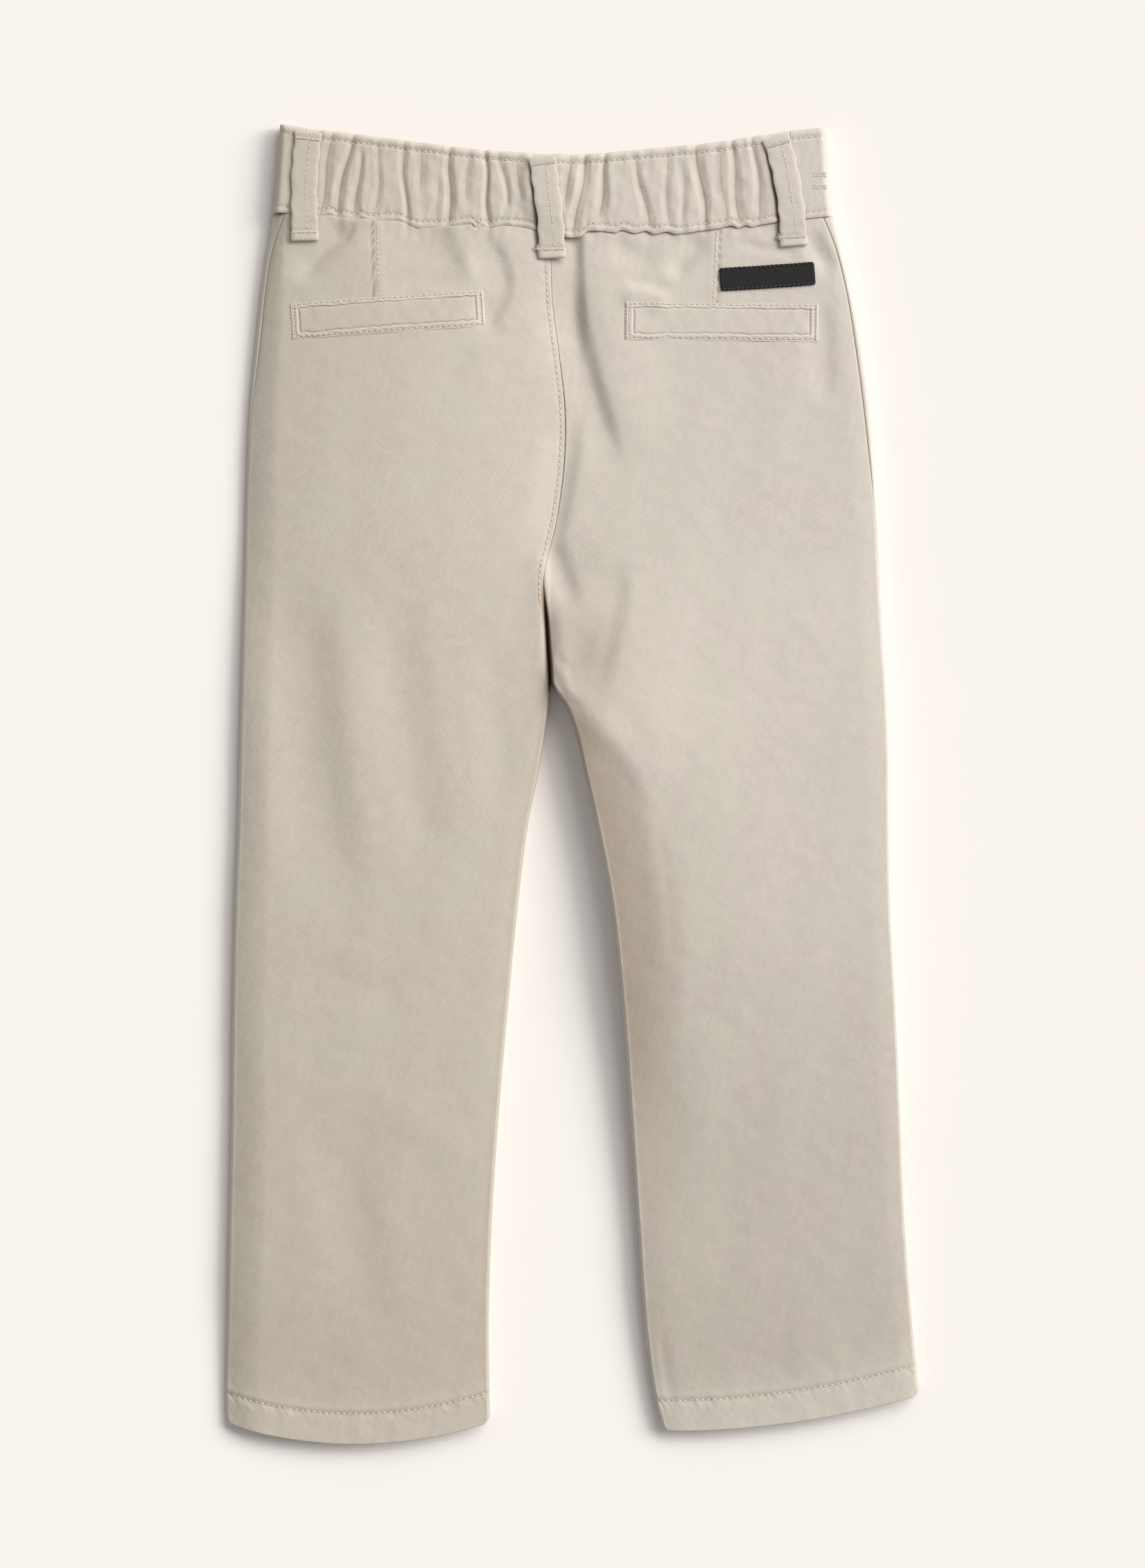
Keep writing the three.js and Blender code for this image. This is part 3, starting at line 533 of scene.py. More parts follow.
def waistband_place(x, v):
    """The waistband's upper face at x, and at share v of the way from its seam to its edge."""
    free = elastic_share(x, v)
    soft, core = valley_depth(x, v)
    ends = 1 - 0.3 * (2 * v - 1) ** 2
    gathered = (GATHER_PUFF - soft * ends) * free
    low, high = seam_y(x) + scallop(x), top_y(x)
    y = lerp(low, high + 0.8 * gathered, v)
    depth = high - low
    from_seam, from_top = v * depth, (1 - v) * depth
    z = WAISTBAND_TOP + gathered - 0.22 * core * free * ends
    z = z + BUTTON_SHARE * button_room(x, y)
    # the two rows of stitches press the band down, and its edges are rolled
    z = z - 0.34 * bump(from_seam, BOTTOM_STITCH_INSET, 0.75) - 0.34 * bump(from_top, TOP_STITCH_INSET, 0.8)
    z = z + 0.22 * bump(from_seam, 1.5, 1.0) + 0.12 * bump(from_top, 2.2, 1.2)
    z = z - 0.3 * by_edge(from_seam, 2.0) ** 2
    z = z - 1.1 * by_edge(from_top, 1.8) ** 2
    ripple = bump(from_seam, BOTTOM_STITCH_INSET + 1, 3) + bump(from_top, TOP_STITCH_INSET, 3)
    z = z + 0.10 * ripple * undulation(x, y * 0.25, 3.4, 5) + 0.10 * undulation(x, y, 11, 6) * free
    z = z + 0.12 * undulation(x, y * 0.3, 6.5, 7) * free + 0.04 * undulation(x, y, 5, 8)
    # tone: painted shade in the gathers' valleys, along the waist seam and between it and the lower
    # stitches, and a painted shadow in the slit beside the belt loops; the rolled seam edge and the upper
    # edge are paler
    tone = -0.85 * core * free - 0.2 * soft * free - 1.9 * loop_gap_shadow(x, v)
    tone = tone - 0.12 * by_edge(from_seam, 0.4) - 0.15 * bump(from_seam, BOTTOM_STITCH_INSET - 1.1, 1.1)
    tone = tone + 0.5 * bump(from_seam, 1.2, 0.5) + 0.35 * by_edge(from_top, 2.2)
    return y, z, tone


def dart_relief(x, y):
    """Height of the darts, and their tone: painted shade along each dart's fold, a little paler just beside
    it.
    """
    height = np.zeros(np.broadcast(x, y).shape)
    tone = height.copy()
    for x0, y0, x1, y1, sew in zip(*DARTS.values()):
        f = (y - y0) / (y1 - y0)
        shown = smooth(-0.05, 0.0, f) * fall(0.98, 1.04, f)
        away = (x - lerp(x0, x1, f)) * sew
        sewn = smooth(0.2, 0.8, away) * fall(3.5, 6, away)
        height = height + shown * (0.15 * sewn - 0.25 * bump(away, 0.1, 0.4))
        height = height - shown * 0.12 * bump(away, DART_STITCH_INSET, 0.6)
        tone = tone - shown * (0.95 * bump(away, 0.1, 0.45) - 0.2 * bump(away, 0.9, 0.5))
    return height, tone


def panel_relief(side, x, y):
    """Seams, hems and fine creases that the upper layer adds to its main form, and their tone, most of it
    painted shade and shadow.
    """
    tone = np.zeros(np.broadcast(x, y).shape)
    height = fold_heights(CREASES, x, y)
    height = height + 0.12 * undulation(x, y * 0.6, 34, 1) + 0.05 * undulation(x, y, 13, 2)
    height = height + 0.025 * undulation(x, y, 4.5, 3)

    above = smooth(GROOVE_FULL_Y + 4, GROOVE_TOP_Y + 6, y)
    from_centre = np.abs(x - inner_x(side, y))
    if side == "left":
        ridge = 0.15 * fall(3.6, 9, from_centre) - 0.15 * bump(from_centre, SEAM_STITCH_INSET, 0.6)
        pucker = 0.09 * bump(from_centre, 3, 3) * undulation(x * 0.4, y, 3.6, 11)
        height = height + (ridge + pucker) * above
        height = height - 0.1 * by_edge(from_centre, 0.5) ** 2 * above
        # painted shade along the centre seam's stitches and along the inner edge below the crotch, and a
        # painted shadow of the right thigh over the left leg beside the crotch
        tone = tone - 0.2 * bump(from_centre, SEAM_STITCH_INSET, 0.7) * above
        open_edge = fall(CROTCH_Y - 10, CROTCH_Y + 10, y)
        tone = tone - 0.22 * open_edge * fall(0, 5, from_centre)
        tone = tone - 0.2 * fall(4, 18, from_centre) * bump(y, 60, 40)
    else:
        height = height - 0.06 * fall(0, 5, from_centre) * above
        # painted shade over the crotch and down the inner slope, which faces away from the light
        tone = tone - 0.32 * bump(x, 7, 17) * bump(y, 58, 26)
        slope = by_edge(from_centre, along(SLOPES, "y", "in_right", y))
        shown = fall(CROTCH_Y - 26, CROTCH_Y + 6, y) * lerp(0.3, 1, smooth(-170, -90, y))
        tone = tone - 0.55 * slope**0.7 * shown

    # painted shadow: a dark slit along the centre where the legs press together above the crotch
    slit = smooth(CROTCH_Y - 6, CROTCH_Y, y) * fall(GROOVE_TOP_Y - 22, GROOVE_TOP_Y + 4, y)
    tone = tone - 2.2 * slit * np.clip(1.35 - from_centre / 1.4, 0, 1)

    from_waist = seam_y(x) + scallop(x) - y
    soft, core = valley_depth(x, 0.0)
    near = np.exp(-np.clip(from_waist, 0, None) / 5.5) * elastic_share(x, 0.0)
    height = height - (0.45 * soft + 0.15 * core) * near
    height = height + 0.16 * near * undulation(x, y * 0.35, 6, 21)
    height = height - 0.05 * by_edge(from_waist, 0.8) ** 2
    # painted shade along the waist seam and in the gathers' valleys below it, and the painted shadow beside
    # the belt loops
    tone = tone - 0.2 * by_edge(from_waist, 0.5) - 0.3 * core * near
    tone = tone - 1.5 * loop_gap_shadow(x, 0.0) * fall(6, 11, from_waist) * smooth(0, 1, from_waist)

    width = np.abs(outer_x(side, y) - inner_x(side, y))
    from_hem = y - hem_y(side, np.clip(from_centre / width, 0, 1))
    roping = undulation(x + 0.7 * from_hem, y * 0.2, 3.2, 31)
    height = height - 0.3 * bump(from_hem, HEM_DEPTH, 0.75) + 0.2 * fall(10, 13.5, from_hem)
    height = height + 0.16 * bump(from_hem, HEM_DEPTH + 2.2, 1.6)
    height = height + 0.15 * bump(from_hem, HEM_DEPTH - 1.6, 2.0) * roping
    height = height + 0.06 * undulation(x, y * 0.5, 9, 32) * fall(12, 26, from_hem)
    height = height - 0.15 * by_edge(from_hem, 1.0) ** 2
    # painted shade along the hem's stitch groove; the folded edge and the cloth near the hem are paler
    tone = tone - 0.3 * bump(from_hem, HEM_DEPTH, 0.8) + 0.25 * by_edge(from_hem, 1.5)
    tone = tone + HEM_PALE[side] * fall(4, 34, from_hem)

    dart_height, dart_tone = dart_relief(x, y)
    return height + dart_height, tone + dart_tone


def back_height(side, x, y):
    """Height of the upper layer's main form, inside its rolled edges."""
    from_outer = np.abs(outer_x(side, y) - x)
    from_inner = np.abs(x - inner_x(side, y))
    sunk = fall(GROOVE_FULL_Y, GROOVE_TOP_Y, y)
    slope = along(SLOPES, "y", "out_" + side, y) * OUTER_WIDEN[side]
    outer_drop = OUTER_DROP[side] * by_edge(from_outer, slope) ** 1.5
    width = np.abs(outer_x(side, y) - inner_x(side, y))
    crown_y = fall(60, 130, y)
    crown = CROWN * crown_y * (1 - np.abs(2 * np.clip(from_inner / width, 0, 1) - 1) ** 2.5)
    inner_slope = along(SLOPES, "y", "in_" + side, y)
    inner_drop = INNER_DROP[side] * by_edge(from_inner, inner_slope) ** 1.7
    inner_drop = inner_drop * lerp(0.2, 1, smooth(-200, -100, y))
    if side == "right":
        thigh = smooth(-210, -60, y) * fall(16, 110, y)
        beside = bump(np.maximum(from_inner - inner_slope, 0), 0, THIGH_SPREAD)
        crown = crown + THIGH_RISE * thigh * lerp(0.5, 1, beside)
    else:
        crown = crown + SEAT_RISE * smooth(50, 130, y) * (1 - ((x - SEAT_X) / 61) ** 2)
    from_hem = y - hem_y(side, np.clip(from_inner / width, 0, 1))
    sag = HEM_SAG * fall(0, HEM_SAG_DEPTH, from_hem)
    open_edge = fall(CROTCH_Y - 12, CROTCH_Y + 6, y)
    fade = smooth(0, 7, from_outer) * lerp(1, smooth(0, 6, from_inner), open_edge)
    return LEG_TOP + crown - sag - outer_drop - sunk * inner_drop + fold_heights(FOLDS, x, y) * fade


def panel_height(side, x, y):
    return back_height(side, x, y) + panel_relief(side, x, y)[0]


def leg_place(side, layer, u, t, relief):
    """Points of a leg panel: u runs from its inner seam to its side seam, t from waist to hem."""
    back = layer == "back"
    sign = SIGN[side]
    top_inner = inner_x(side, seam_y(CENTRE_FRONT_X))
    top_outer = outer_x(side, WAIST_SIDE_Y)
    y_inner = lerp(seam_y(top_inner), hem_y(side, 0), t)
    y_outer = lerp(seam_y(top_outer), hem_y(side, 1), t)
    seam_x = np.where(back | (y_inner < CROTCH_Y), inner_x(side, y_inner), CENTRE_FRONT_X)
    edge_x = outer_x(side, y_outer)
    width = np.abs(edge_x - seam_x)

    if back:
        turned = fall(GROOVE_FULL_Y, GROOVE_TOP_Y, y_inner)
        bead_in = lerp(INNER_BEAD, GROOVE_BEAD, smooth(GROOVE_END_Y, CROTCH_Y, y_inner))
    else:
        turned = fall(CROTCH_Y, FRONT_CURL_Y, y_inner)
        bead_in = BEAD
    first_angle = (1 - turned) * np.pi / 2

    inner_arc = bead_in * (np.pi / 2 - first_angle)
    inner_reach = bead_in * np.cos(first_angle)
    flat = width - SEAM_GAP / 2 - inner_reach - BEAD
    outer_arc = BEAD * np.pi / 2
    inset = np.maximum(along(SIDE_SEAM, "y", side, y_outer), 0)
    wrap = np.where(
        inset < BEAD,
        BEAD * np.arccos(np.clip(1 - inset / BEAD, -1, 1)),
        outer_arc + inset - BEAD,
    )
    whole = inner_arc + flat + outer_arc + (-wrap if back else wrap)
    s = lerp(turned * SEAM_GAP / 2, whole - SEAM_GAP / 2, u)

    on_inner = s < inner_arc
    on_flat = ~on_inner & (s < inner_arc + flat)
    angle_in = first_angle + s / bead_in
    angle_out = np.pi / 2 - (s - inner_arc - flat) / BEAD
    rolled = np.clip(angle_out, -np.pi / 2, np.pi / 2)
    x_in = seam_x + sign * (SEAM_GAP / 2 + inner_reach - bead_in * np.cos(angle_in))
    x_flat = seam_x + sign * (SEAM_GAP / 2 + inner_reach + s - inner_arc)
    x_out = edge_x - sign * (BEAD - BEAD * np.cos(rolled))
    past = np.maximum(-np.pi / 2 - angle_out, 0) * BEAD
    x = np.where(on_inner, x_in, np.where(on_flat, x_flat, x_out - sign * past))
    bead = np.where(on_inner, np.sin(angle_in), np.where(on_flat, 1, np.sin(np.abs(rolled))))
    upper = back | (~on_inner & ~on_flat & (angle_out < 0))

    share = np.clip(np.abs(x - seam_x) / width, 0, 1)
    top = seam_y(lerp(top_inner, top_outer, share)) - SEAM_GAP / 2
    y = lerp(top, hem_y(side, share), t)
    corner = by_edge(share * width, HEM_CORNER) ** 2 + by_edge((1 - share) * width, HEM_CORNER) ** 2
    y = y + HEM_CORNER_RISE * corner * smooth(0.98, 1, t)
    z_upper = back_height(side, x, y)
    tone = np.zeros(x.shape)
    if relief:
        y = y + scallop(x) * fall(0, 14, top - y)
        height, tone = panel_relief(side, x, y)
        z_upper = z_upper + height
        from_side = whole - s
        shown = smooth(0.5, 2, inset)
        z_upper = z_upper - 0.3 * shown * by_edge(from_side, 0.7) ** 2
        # painted shade along the side seam
        tone = tone - 0.45 * shown * by_edge(from_side, 0.6)
        tone = tone + 0.15 * sign * shown * bump(from_side, 1.3, 0.5)
        # painted light: the edges that face away from the light are paler, the left leg's side seam and the
        # right one's inseam
        left_facing = np.abs(x - (edge_x if side == "left" else seam_x))
        painted_light_share = 1 if side == "left" else fall(-30, 20, y)
        tone = tone + 0.6 * fall(1.2, 3.2, left_facing) * painted_light_share
    z_lower = SEAM_HEIGHT * (1 - bead)
    if not back:
        inside = np.minimum(np.abs(x - seam_x), np.abs(edge_x - x))
        z_lower = z_lower + fold_heights(FRONT_FOLDS, x, y) * smooth(0, 10, inside)
        tone = np.where(upper, tone, 0)
    z = np.where(upper, SEAM_HEIGHT + (z_upper - SEAM_HEIGHT) * bead, z_lower)
    return np.stack([x, y, z], -1), sign * s, tone


def offset_inwards(points, thickness, flip):
    """The inner face of a wall whose outer face is a grid of points."""
    du = np.gradient(points, axis=1)
    dv = np.gradient(points, axis=0)
    normal = np.cross(du, dv) * flip
    normal /= np.maximum(np.linalg.norm(normal, axis=-1, keepdims=True), 1e-9)
    return points - normal * thickness


def add_mesh(name, points, faces, material, smooth_faces=None, weave=None, tone=None):
    """A mesh piece from points in millimetres."""
    corners = points[faces[:, :3]]
    if np.einsum("ij,ij->i", corners[:, 0], np.cross(corners[:, 1], corners[:, 2])).sum() < 0:
        faces = faces[:, ::-1]
    mesh = bpy.data.meshes.new(name)
    mesh.from_pydata((points * MM).tolist(), [], faces.tolist())
    shading = np.ones(len(faces), bool) if smooth_faces is None else smooth_faces
    mesh.polygons.foreach_set("use_smooth", shading)
    if weave is not None:
        layer = mesh.uv_layers.new(name="weave")
        corner_points = np.empty(len(mesh.loops), np.int32)
        mesh.loops.foreach_get("vertex_index", corner_points)
        layer.uv.foreach_set("vector", (weave[corner_points] * MM).astype(np.float32).ravel())
    if tone is not None:
        attribute = mesh.attributes.new("tone", "FLOAT", "POINT")
        attribute.data.foreach_set("value", tone.astype(np.float32))
    mesh.materials.append(material)
    piece = bpy.data.objects.new(name, mesh)
    bpy.context.scene.collection.objects.link(piece)
    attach(piece, "root")
    return piece


def add_shell(name, outer, inner, material, weave, tone):
    """A closed wall between two grids of points."""
    rows, columns = outer.shape[:2]
    count = rows * columns
    at = np.arange(count).reshape(rows, columns)
    face = np.stack([at[:-1, :-1], at[:-1, 1:], at[1:, 1:], at[1:, :-1]], -1).reshape(-1, 4)
    edge = np.concatenate([at[0, :], at[1:, -1], at[-1, -2::-1], at[-2:0:-1, 0]])
    following = np.roll(edge, -1)
    rim = np.stack([following, edge, edge + count, following + count], -1)
    faces = np.concatenate([face, face[:, ::-1] + count, rim])
    smooth_faces = np.arange(len(faces)) < 2 * len(face)
    points = np.concatenate([outer.reshape(-1, 3), inner.reshape(-1, 3)])
    weave = np.tile(weave.reshape(-1, 2), (2, 1))
    tone = np.concatenate([tone.ravel(), np.minimum(tone.ravel(), 0)])
    return add_mesh(name, points, faces, material, smooth_faces, weave, tone)


def weave_at(s, y, degrees):
    """Coordinates across and along the diagonal lines of the twill."""
    turn = np.radians(degrees)
    return np.stack([s * np.sin(turn) + y * np.cos(turn), s * np.cos(turn) - y * np.sin(turn)], -1)


def set_inputs(made, **values):
    for key, value in values.items():
        made.inputs[key.replace("_", " ")].default_value = value


def node(tree, kind, **settings):
    """A shader node. Each setting is one of its properties, or else one of its inputs."""
    made = tree.nodes.new(kind)
    for key, value in settings.items():
        if hasattr(made, key):
            setattr(made, key, value)
        else:
            set_inputs(made, **{key: value})
    return made


def new_material(name):
    material = bpy.data.materials.new(name)
    material.use_nodes = True
    tree = material.node_tree
    return material, tree, tree.nodes["Principled BSDF"]


def mixed(tree, factor, first, second, blend="MIX"):
    """A colour mix whose inputs are sockets or plain values."""
    mix = node(tree, "ShaderNodeMix", data_type="RGBA", blend_type=blend)
    for socket, value in ((mix.inputs[0], factor), (mix.inputs[6], first), (mix.inputs[7], second)):
        if isinstance(value, bpy.types.NodeSocket):
            tree.links.new(value, socket)
        else:
            socket.default_value = value
    return mix.outputs[2]


def ranged(tree, value, low, high, to_low, to_high):
    """A value brought from one range to another."""
    found = node(tree, "ShaderNodeMapRange")
    tree.links.new(value, found.inputs[0])
    for i, number in enumerate((low, high, to_low, to_high)):
        found.inputs[i + 1].default_value = number
    return found.outputs[0]


def multiplied(tree, base, factor, first, second):
    """A colour multiplied by one that goes from first to second."""
    return mixed(tree, 1.0, base, mixed(tree, factor, (*first, 1), (*second, 1)), "MULTIPLY")


def bumped(tree, height, strength, distance, normal=None):
    """A bump of that distance in metres, on top of another normal."""
    made = node(tree, "ShaderNodeBump", Strength=strength, Distance=distance)
    tree.links.new(height, made.inputs["Height"])
    if normal is not None:
        tree.links.new(normal, made.inputs["Normal"])
    return made.outputs[0]


def twill_material(name, light, dark, crease, wear_and_painted_light, gap):
    """Cotton twill: diagonal lines of float yarns, mottled yarn, painted brown shade in seams and creases,
    and paler ridges that are partly wear and partly painted light.
    """
    material, tree, shader = new_material(name)
    link = tree.links.new
    weave = node(tree, "ShaderNodeUVMap", uv_map="weave")
    scaled = node(tree, "ShaderNodeVectorMath", operation="SCALE", Scale=1000)
    link(weave.outputs[0], scaled.inputs[0])

    def noise(scale, detail, stretch=(1, 1, 1)):
        mapping = node(tree, "ShaderNodeMapping", Scale=stretch)
        link(scaled.outputs[0], mapping.inputs["Vector"])
        made = node(tree, "ShaderNodeTexNoise", Scale=scale, Detail=detail, Roughness=0.6)
        link(mapping.outputs[0], made.inputs["Vector"])
        return made.outputs["Fac"]

    lines = node(tree, "ShaderNodeTexWave", wave_type="BANDS", bands_direction="X", wave_profile="SIN",
                 Scale=0.302, Distortion=1.1, Detail=2.0, Detail_Scale=1.6)
    link(scaled.outputs[0], lines.inputs["Vector"])
    yarn = noise(1.0, 2.0, (0.9, 2.2, 1.0))
    fibre = noise(3.2, 2.0)
    mottle = noise(0.16, 3.0)
    cloud = noise(0.022, 2.0)

    base = mixed(tree, lines.outputs["Fac"], (*dark, 1), (*light, 1))
    base = mixed(tree, ranged(tree, yarn, 0.3, 0.7, 0.0, 0.34), base, (*light, 1))
    base = mixed(tree, 1.0, base, ranged(tree, fibre, 0.25, 0.75, 0.9, 1.08), "MULTIPLY")
    base = mixed(tree, 1.0, base, ranged(tree, mottle, 0.3, 0.7, 0.955, 1.035), "MULTIPLY")
    cool = (light[0] * 0.93, light[1] * 0.965, light[2] * 0.93, 1)
    base = mixed(tree, ranged(tree, cloud, 0.38, 0.62, 0.0, 0.55), base, cool)

    # painted shade: the cloth is darkened towards the hems and over the left half of the seat, and its hue
    # shifts across it, standing in for the light falling off away from the upper right
    place = node(tree, "ShaderNodeTexCoord")
    split = node(tree, "ShaderNodeSeparateXYZ")
    link(place.outputs["Object"], split.inputs[0])
    x, y = split.outputs[0], split.outputs[1]
    upwards = ranged(tree, y, -0.28, 0.12, 0.0, 1.0)
    base = multiplied(tree, base, upwards, (0.786, 0.776, 0.755), (1, 1, 1))
    base = multiplied(tree, base, ranged(tree, x, -0.14, 0.12, 0.0, 1.0), (1, 0.995, 0.97), (1, 1, 1.02))
    upper_left = node(tree, "ShaderNodeMath", operation="MULTIPLY")
    link(ranged(tree, x, -0.13, 0.03, 1.0, 0.0), upper_left.inputs[0])
    link(upwards, upper_left.inputs[1])
    base = multiplied(tree, base, upper_left.outputs[0], (1, 1, 1), (0.88, 0.878, 0.865))

    # tone below 0 mixes in the crease colour, a painted shade; above 0 it mixes in the paler colour, partly
    # wear and partly painted light; below -1 it mixes in the gap colour, a painted shadow
    tone = node(tree, "ShaderNodeAttribute", attribute_name="tone").outputs["Fac"]
    base = mixed(tree, ranged(tree, tone, 0, -1, 0.0, 0.85), base, (*crease, 1))
    base = mixed(tree, ranged(tree, tone, 0, 1, 0.0, 0.8), base, (*wear_and_painted_light, 1))
    base = mixed(tree, ranged(tree, tone, -1, -2, 0.0, 0.95), base, (*gap, 1))
    link(base, shader.inputs["Base Color"])

    link(ranged(tree, yarn, 0.3, 0.7, 0.8, 0.92), shader.inputs["Roughness"])
    set_inputs(shader, Specular_IOR_Level=0.25, Sheen_Weight=0.12, Sheen_Roughness=0.5,
               Sheen_Tint=(1.0, 0.96, 0.9, 1))
    normal = bumped(tree, lines.outputs["Fac"], 0.5, 0.00007)
    normal = bumped(tree, fibre, 0.45, 0.00006, normal)
    normal = bumped(tree, mottle, 0.5, 0.0004, normal)
    link(normal, shader.inputs["Normal"])
    return material


def plain_material(name, colour, second, roughness, scale, distance, sheen=0.0):
    """Thread, plastic or paper: two close colours in a fine noise, with a little bump."""
    material, tree, shader = new_material(name)
    link = tree.links.new
    place = node(tree, "ShaderNodeTexCoord")
    grain = node(tree, "ShaderNodeTexNoise", Scale=scale, Detail=3.0)
    link(place.outputs["Object"], grain.inputs["Vector"])
    grain = grain.outputs["Fac"]
    colours = mixed(tree, ranged(tree, grain, 0.35, 0.65, 0, 1), (*colour, 1), (*second, 1))
    link(colours, shader.inputs["Base Color"])
    link(ranged(tree, grain, 0, 1, roughness - 0.06, roughness + 0.06), shader.inputs["Roughness"])
    link(bumped(tree, grain, 0.5, distance), shader.inputs["Normal"])
    set_inputs(shader, Sheen_Weight=sheen)
    return material


def label_material(name, warp, weft):
    """Black damask-woven tape: fine ribs across and along."""
    material, tree, shader = new_material(name)
    link = tree.links.new
    weave = node(tree, "ShaderNodeUVMap", uv_map="weave").outputs[0]
    crossed = node(tree, "ShaderNodeMath", operation="MULTIPLY")
    for i, (direction, scale) in enumerate((("X", 700.0), ("Y", 520.0))):
        rib = node(tree, "ShaderNodeTexWave", wave_type="BANDS", bands_direction=direction,
                   Scale=scale, Distortion=0.6)
        link(weave, rib.inputs["Vector"])
        link(rib.outputs["Fac"], crossed.inputs[i])
    lint = node(tree, "ShaderNodeTexNoise", Scale=900.0, Detail=3.0)
    link(weave, lint.inputs["Vector"])
    lint = lint.outputs["Fac"]
    base = mixed(tree, crossed.outputs[0], (*warp, 1), (*weft, 1))
    base = mixed(tree, ranged(tree, lint, 0.45, 0.8, 0, 0.5), base, (*weft, 1))
    link(base, shader.inputs["Base Color"])
    link(ranged(tree, lint, 0.2, 0.8, 0.7, 0.9), shader.inputs["Roughness"])
    set_inputs(shader, Specular_IOR_Level=0.3, Sheen_Weight=0.05)
    link(bumped(tree, crossed.outputs[0], 0.6, 0.00009), shader.inputs["Normal"])
    return material


twill = twill_material(
    "twill", light=(0.666, 0.599, 0.531), dark=(0.575, 0.516, 0.453),
    crease=(0.33, 0.225, 0.145), wear_and_painted_light=(0.70, 0.64, 0.57), gap=(0.05, 0.032, 0.022))
thread = plain_material(
    "cotton_thread", (0.73, 0.665, 0.58), (0.61, 0.545, 0.465), 0.75, 4000.0, 0.00004, 0.2)
hole_shade = plain_material("stitch_shadow", (0.19, 0.14, 0.10), (0.26, 0.19, 0.14), 0.9, 3000.0, 0.00002)
woven = label_material("woven_label", (0.0105, 0.0088, 0.0096), (0.027, 0.0235, 0.0255))
black_thread = plain_material(
    "black_thread", (0.012, 0.010, 0.011), (0.03, 0.027, 0.028), 0.6, 4000.0, 0.00004, 0.2)
horn = plain_material("horn_plastic", (0.42, 0.35, 0.27), (0.56, 0.49, 0.40), 0.34, 260.0, 0.00001)


def stops(*spans):
    """Places from 0 to 1: each span gives where it ends and how many steps it has."""
    made, start = [0.0], 0.0
    for end, steps in spans:
        made += [lerp(start, end, k / steps) for k in range(1, steps + 1)]
        start = end
    return np.array(made)


def dress(name):
    """Hides the solid node that a sheet of cloth stands in for."""
    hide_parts(name)


# Steps across and along the leg panels
LEG_STEPS = {
    "back": (
        stops((0.03, 9), (0.05, 3), (0.95, 104), (0.97, 4), (1.0, 9)),
        stops((0.03, 22), (0.1, 32), (0.95, 216), (0.99, 32), (1.0, 9)),
    ),
    "front": (
        stops((0.03, 7), (0.93, 36), (0.97, 7), (1.0, 9)),
        stops((0.06, 16), (0.95, 130), (0.99, 20), (1.0, 6)),
    ),
}
TWILL_ANGLE = {"left": 67.5, "right": 57.5}


def add_leg_panel(side, layer):
    name = f"{layer}_leg_{side}"
    u, t = np.meshgrid(*LEG_STEPS[layer])
    outer, s, tone = leg_place(side, layer, u, t, True)
    base, _, _ = leg_place(side, layer, u, t, False)
    from_hem = (1 - t) * LEG_LENGTH
    wall = lerp(HEM_WALL, CLOTH, smooth(HEM_DEPTH - 1, HEM_DEPTH + 1, from_hem))[..., None]
    inner = offset_inwards(base, wall, -SIGN[side] if layer == "back" else SIGN[side])
    weave = weave_at(s, outer[..., 1], TWILL_ANGLE[side])
    panel = add_shell(name + "_cloth", outer, inner, twill, weave, tone)
    dress(name)


for side in ("left", "right"):
    for layer in ("back", "front"):
        add_leg_panel(side, layer)

# Waistband: the gathered back and the plain fronts that come round the side edges
BACK_BAND_STEPS = 430
BAND_TWILL_ANGLE = 60
GATHERED_WEAVE = 1.12  # the twill's lines stand closer across the gathers


def add_back_waistband():
    u, v = np.meshgrid(np.linspace(0, 1, BACK_BAND_STEPS), stops((0.12, 18), (0.84, 34), (1.0, 22)))
    x = lerp(BACK_WAISTBAND_LEFT_X + SEAM_GAP / 2, BACK_WAISTBAND_RIGHT_X - SEAM_GAP / 2, u)
    y, z, tone = waistband_place(x, v)
    under = WAISTBAND_TOP - WAISTBAND_WALL + BUTTON_SHARE * button_room(x, y) - 0.4 * GATHER_PUFF
    under = under - 0.6 * valley_depth(x, v)[0] * elastic_share(x, v)
    outer, inner = np.stack([x, y, z], -1), np.stack([x, y, under], -1)
    weave = weave_at(x * GATHERED_WEAVE, y, BAND_TWILL_ANGLE)
    band = add_shell("waistband_back_cloth", outer, inner, twill, weave, tone)
    dress("waistband_back")


add_back_waistband()


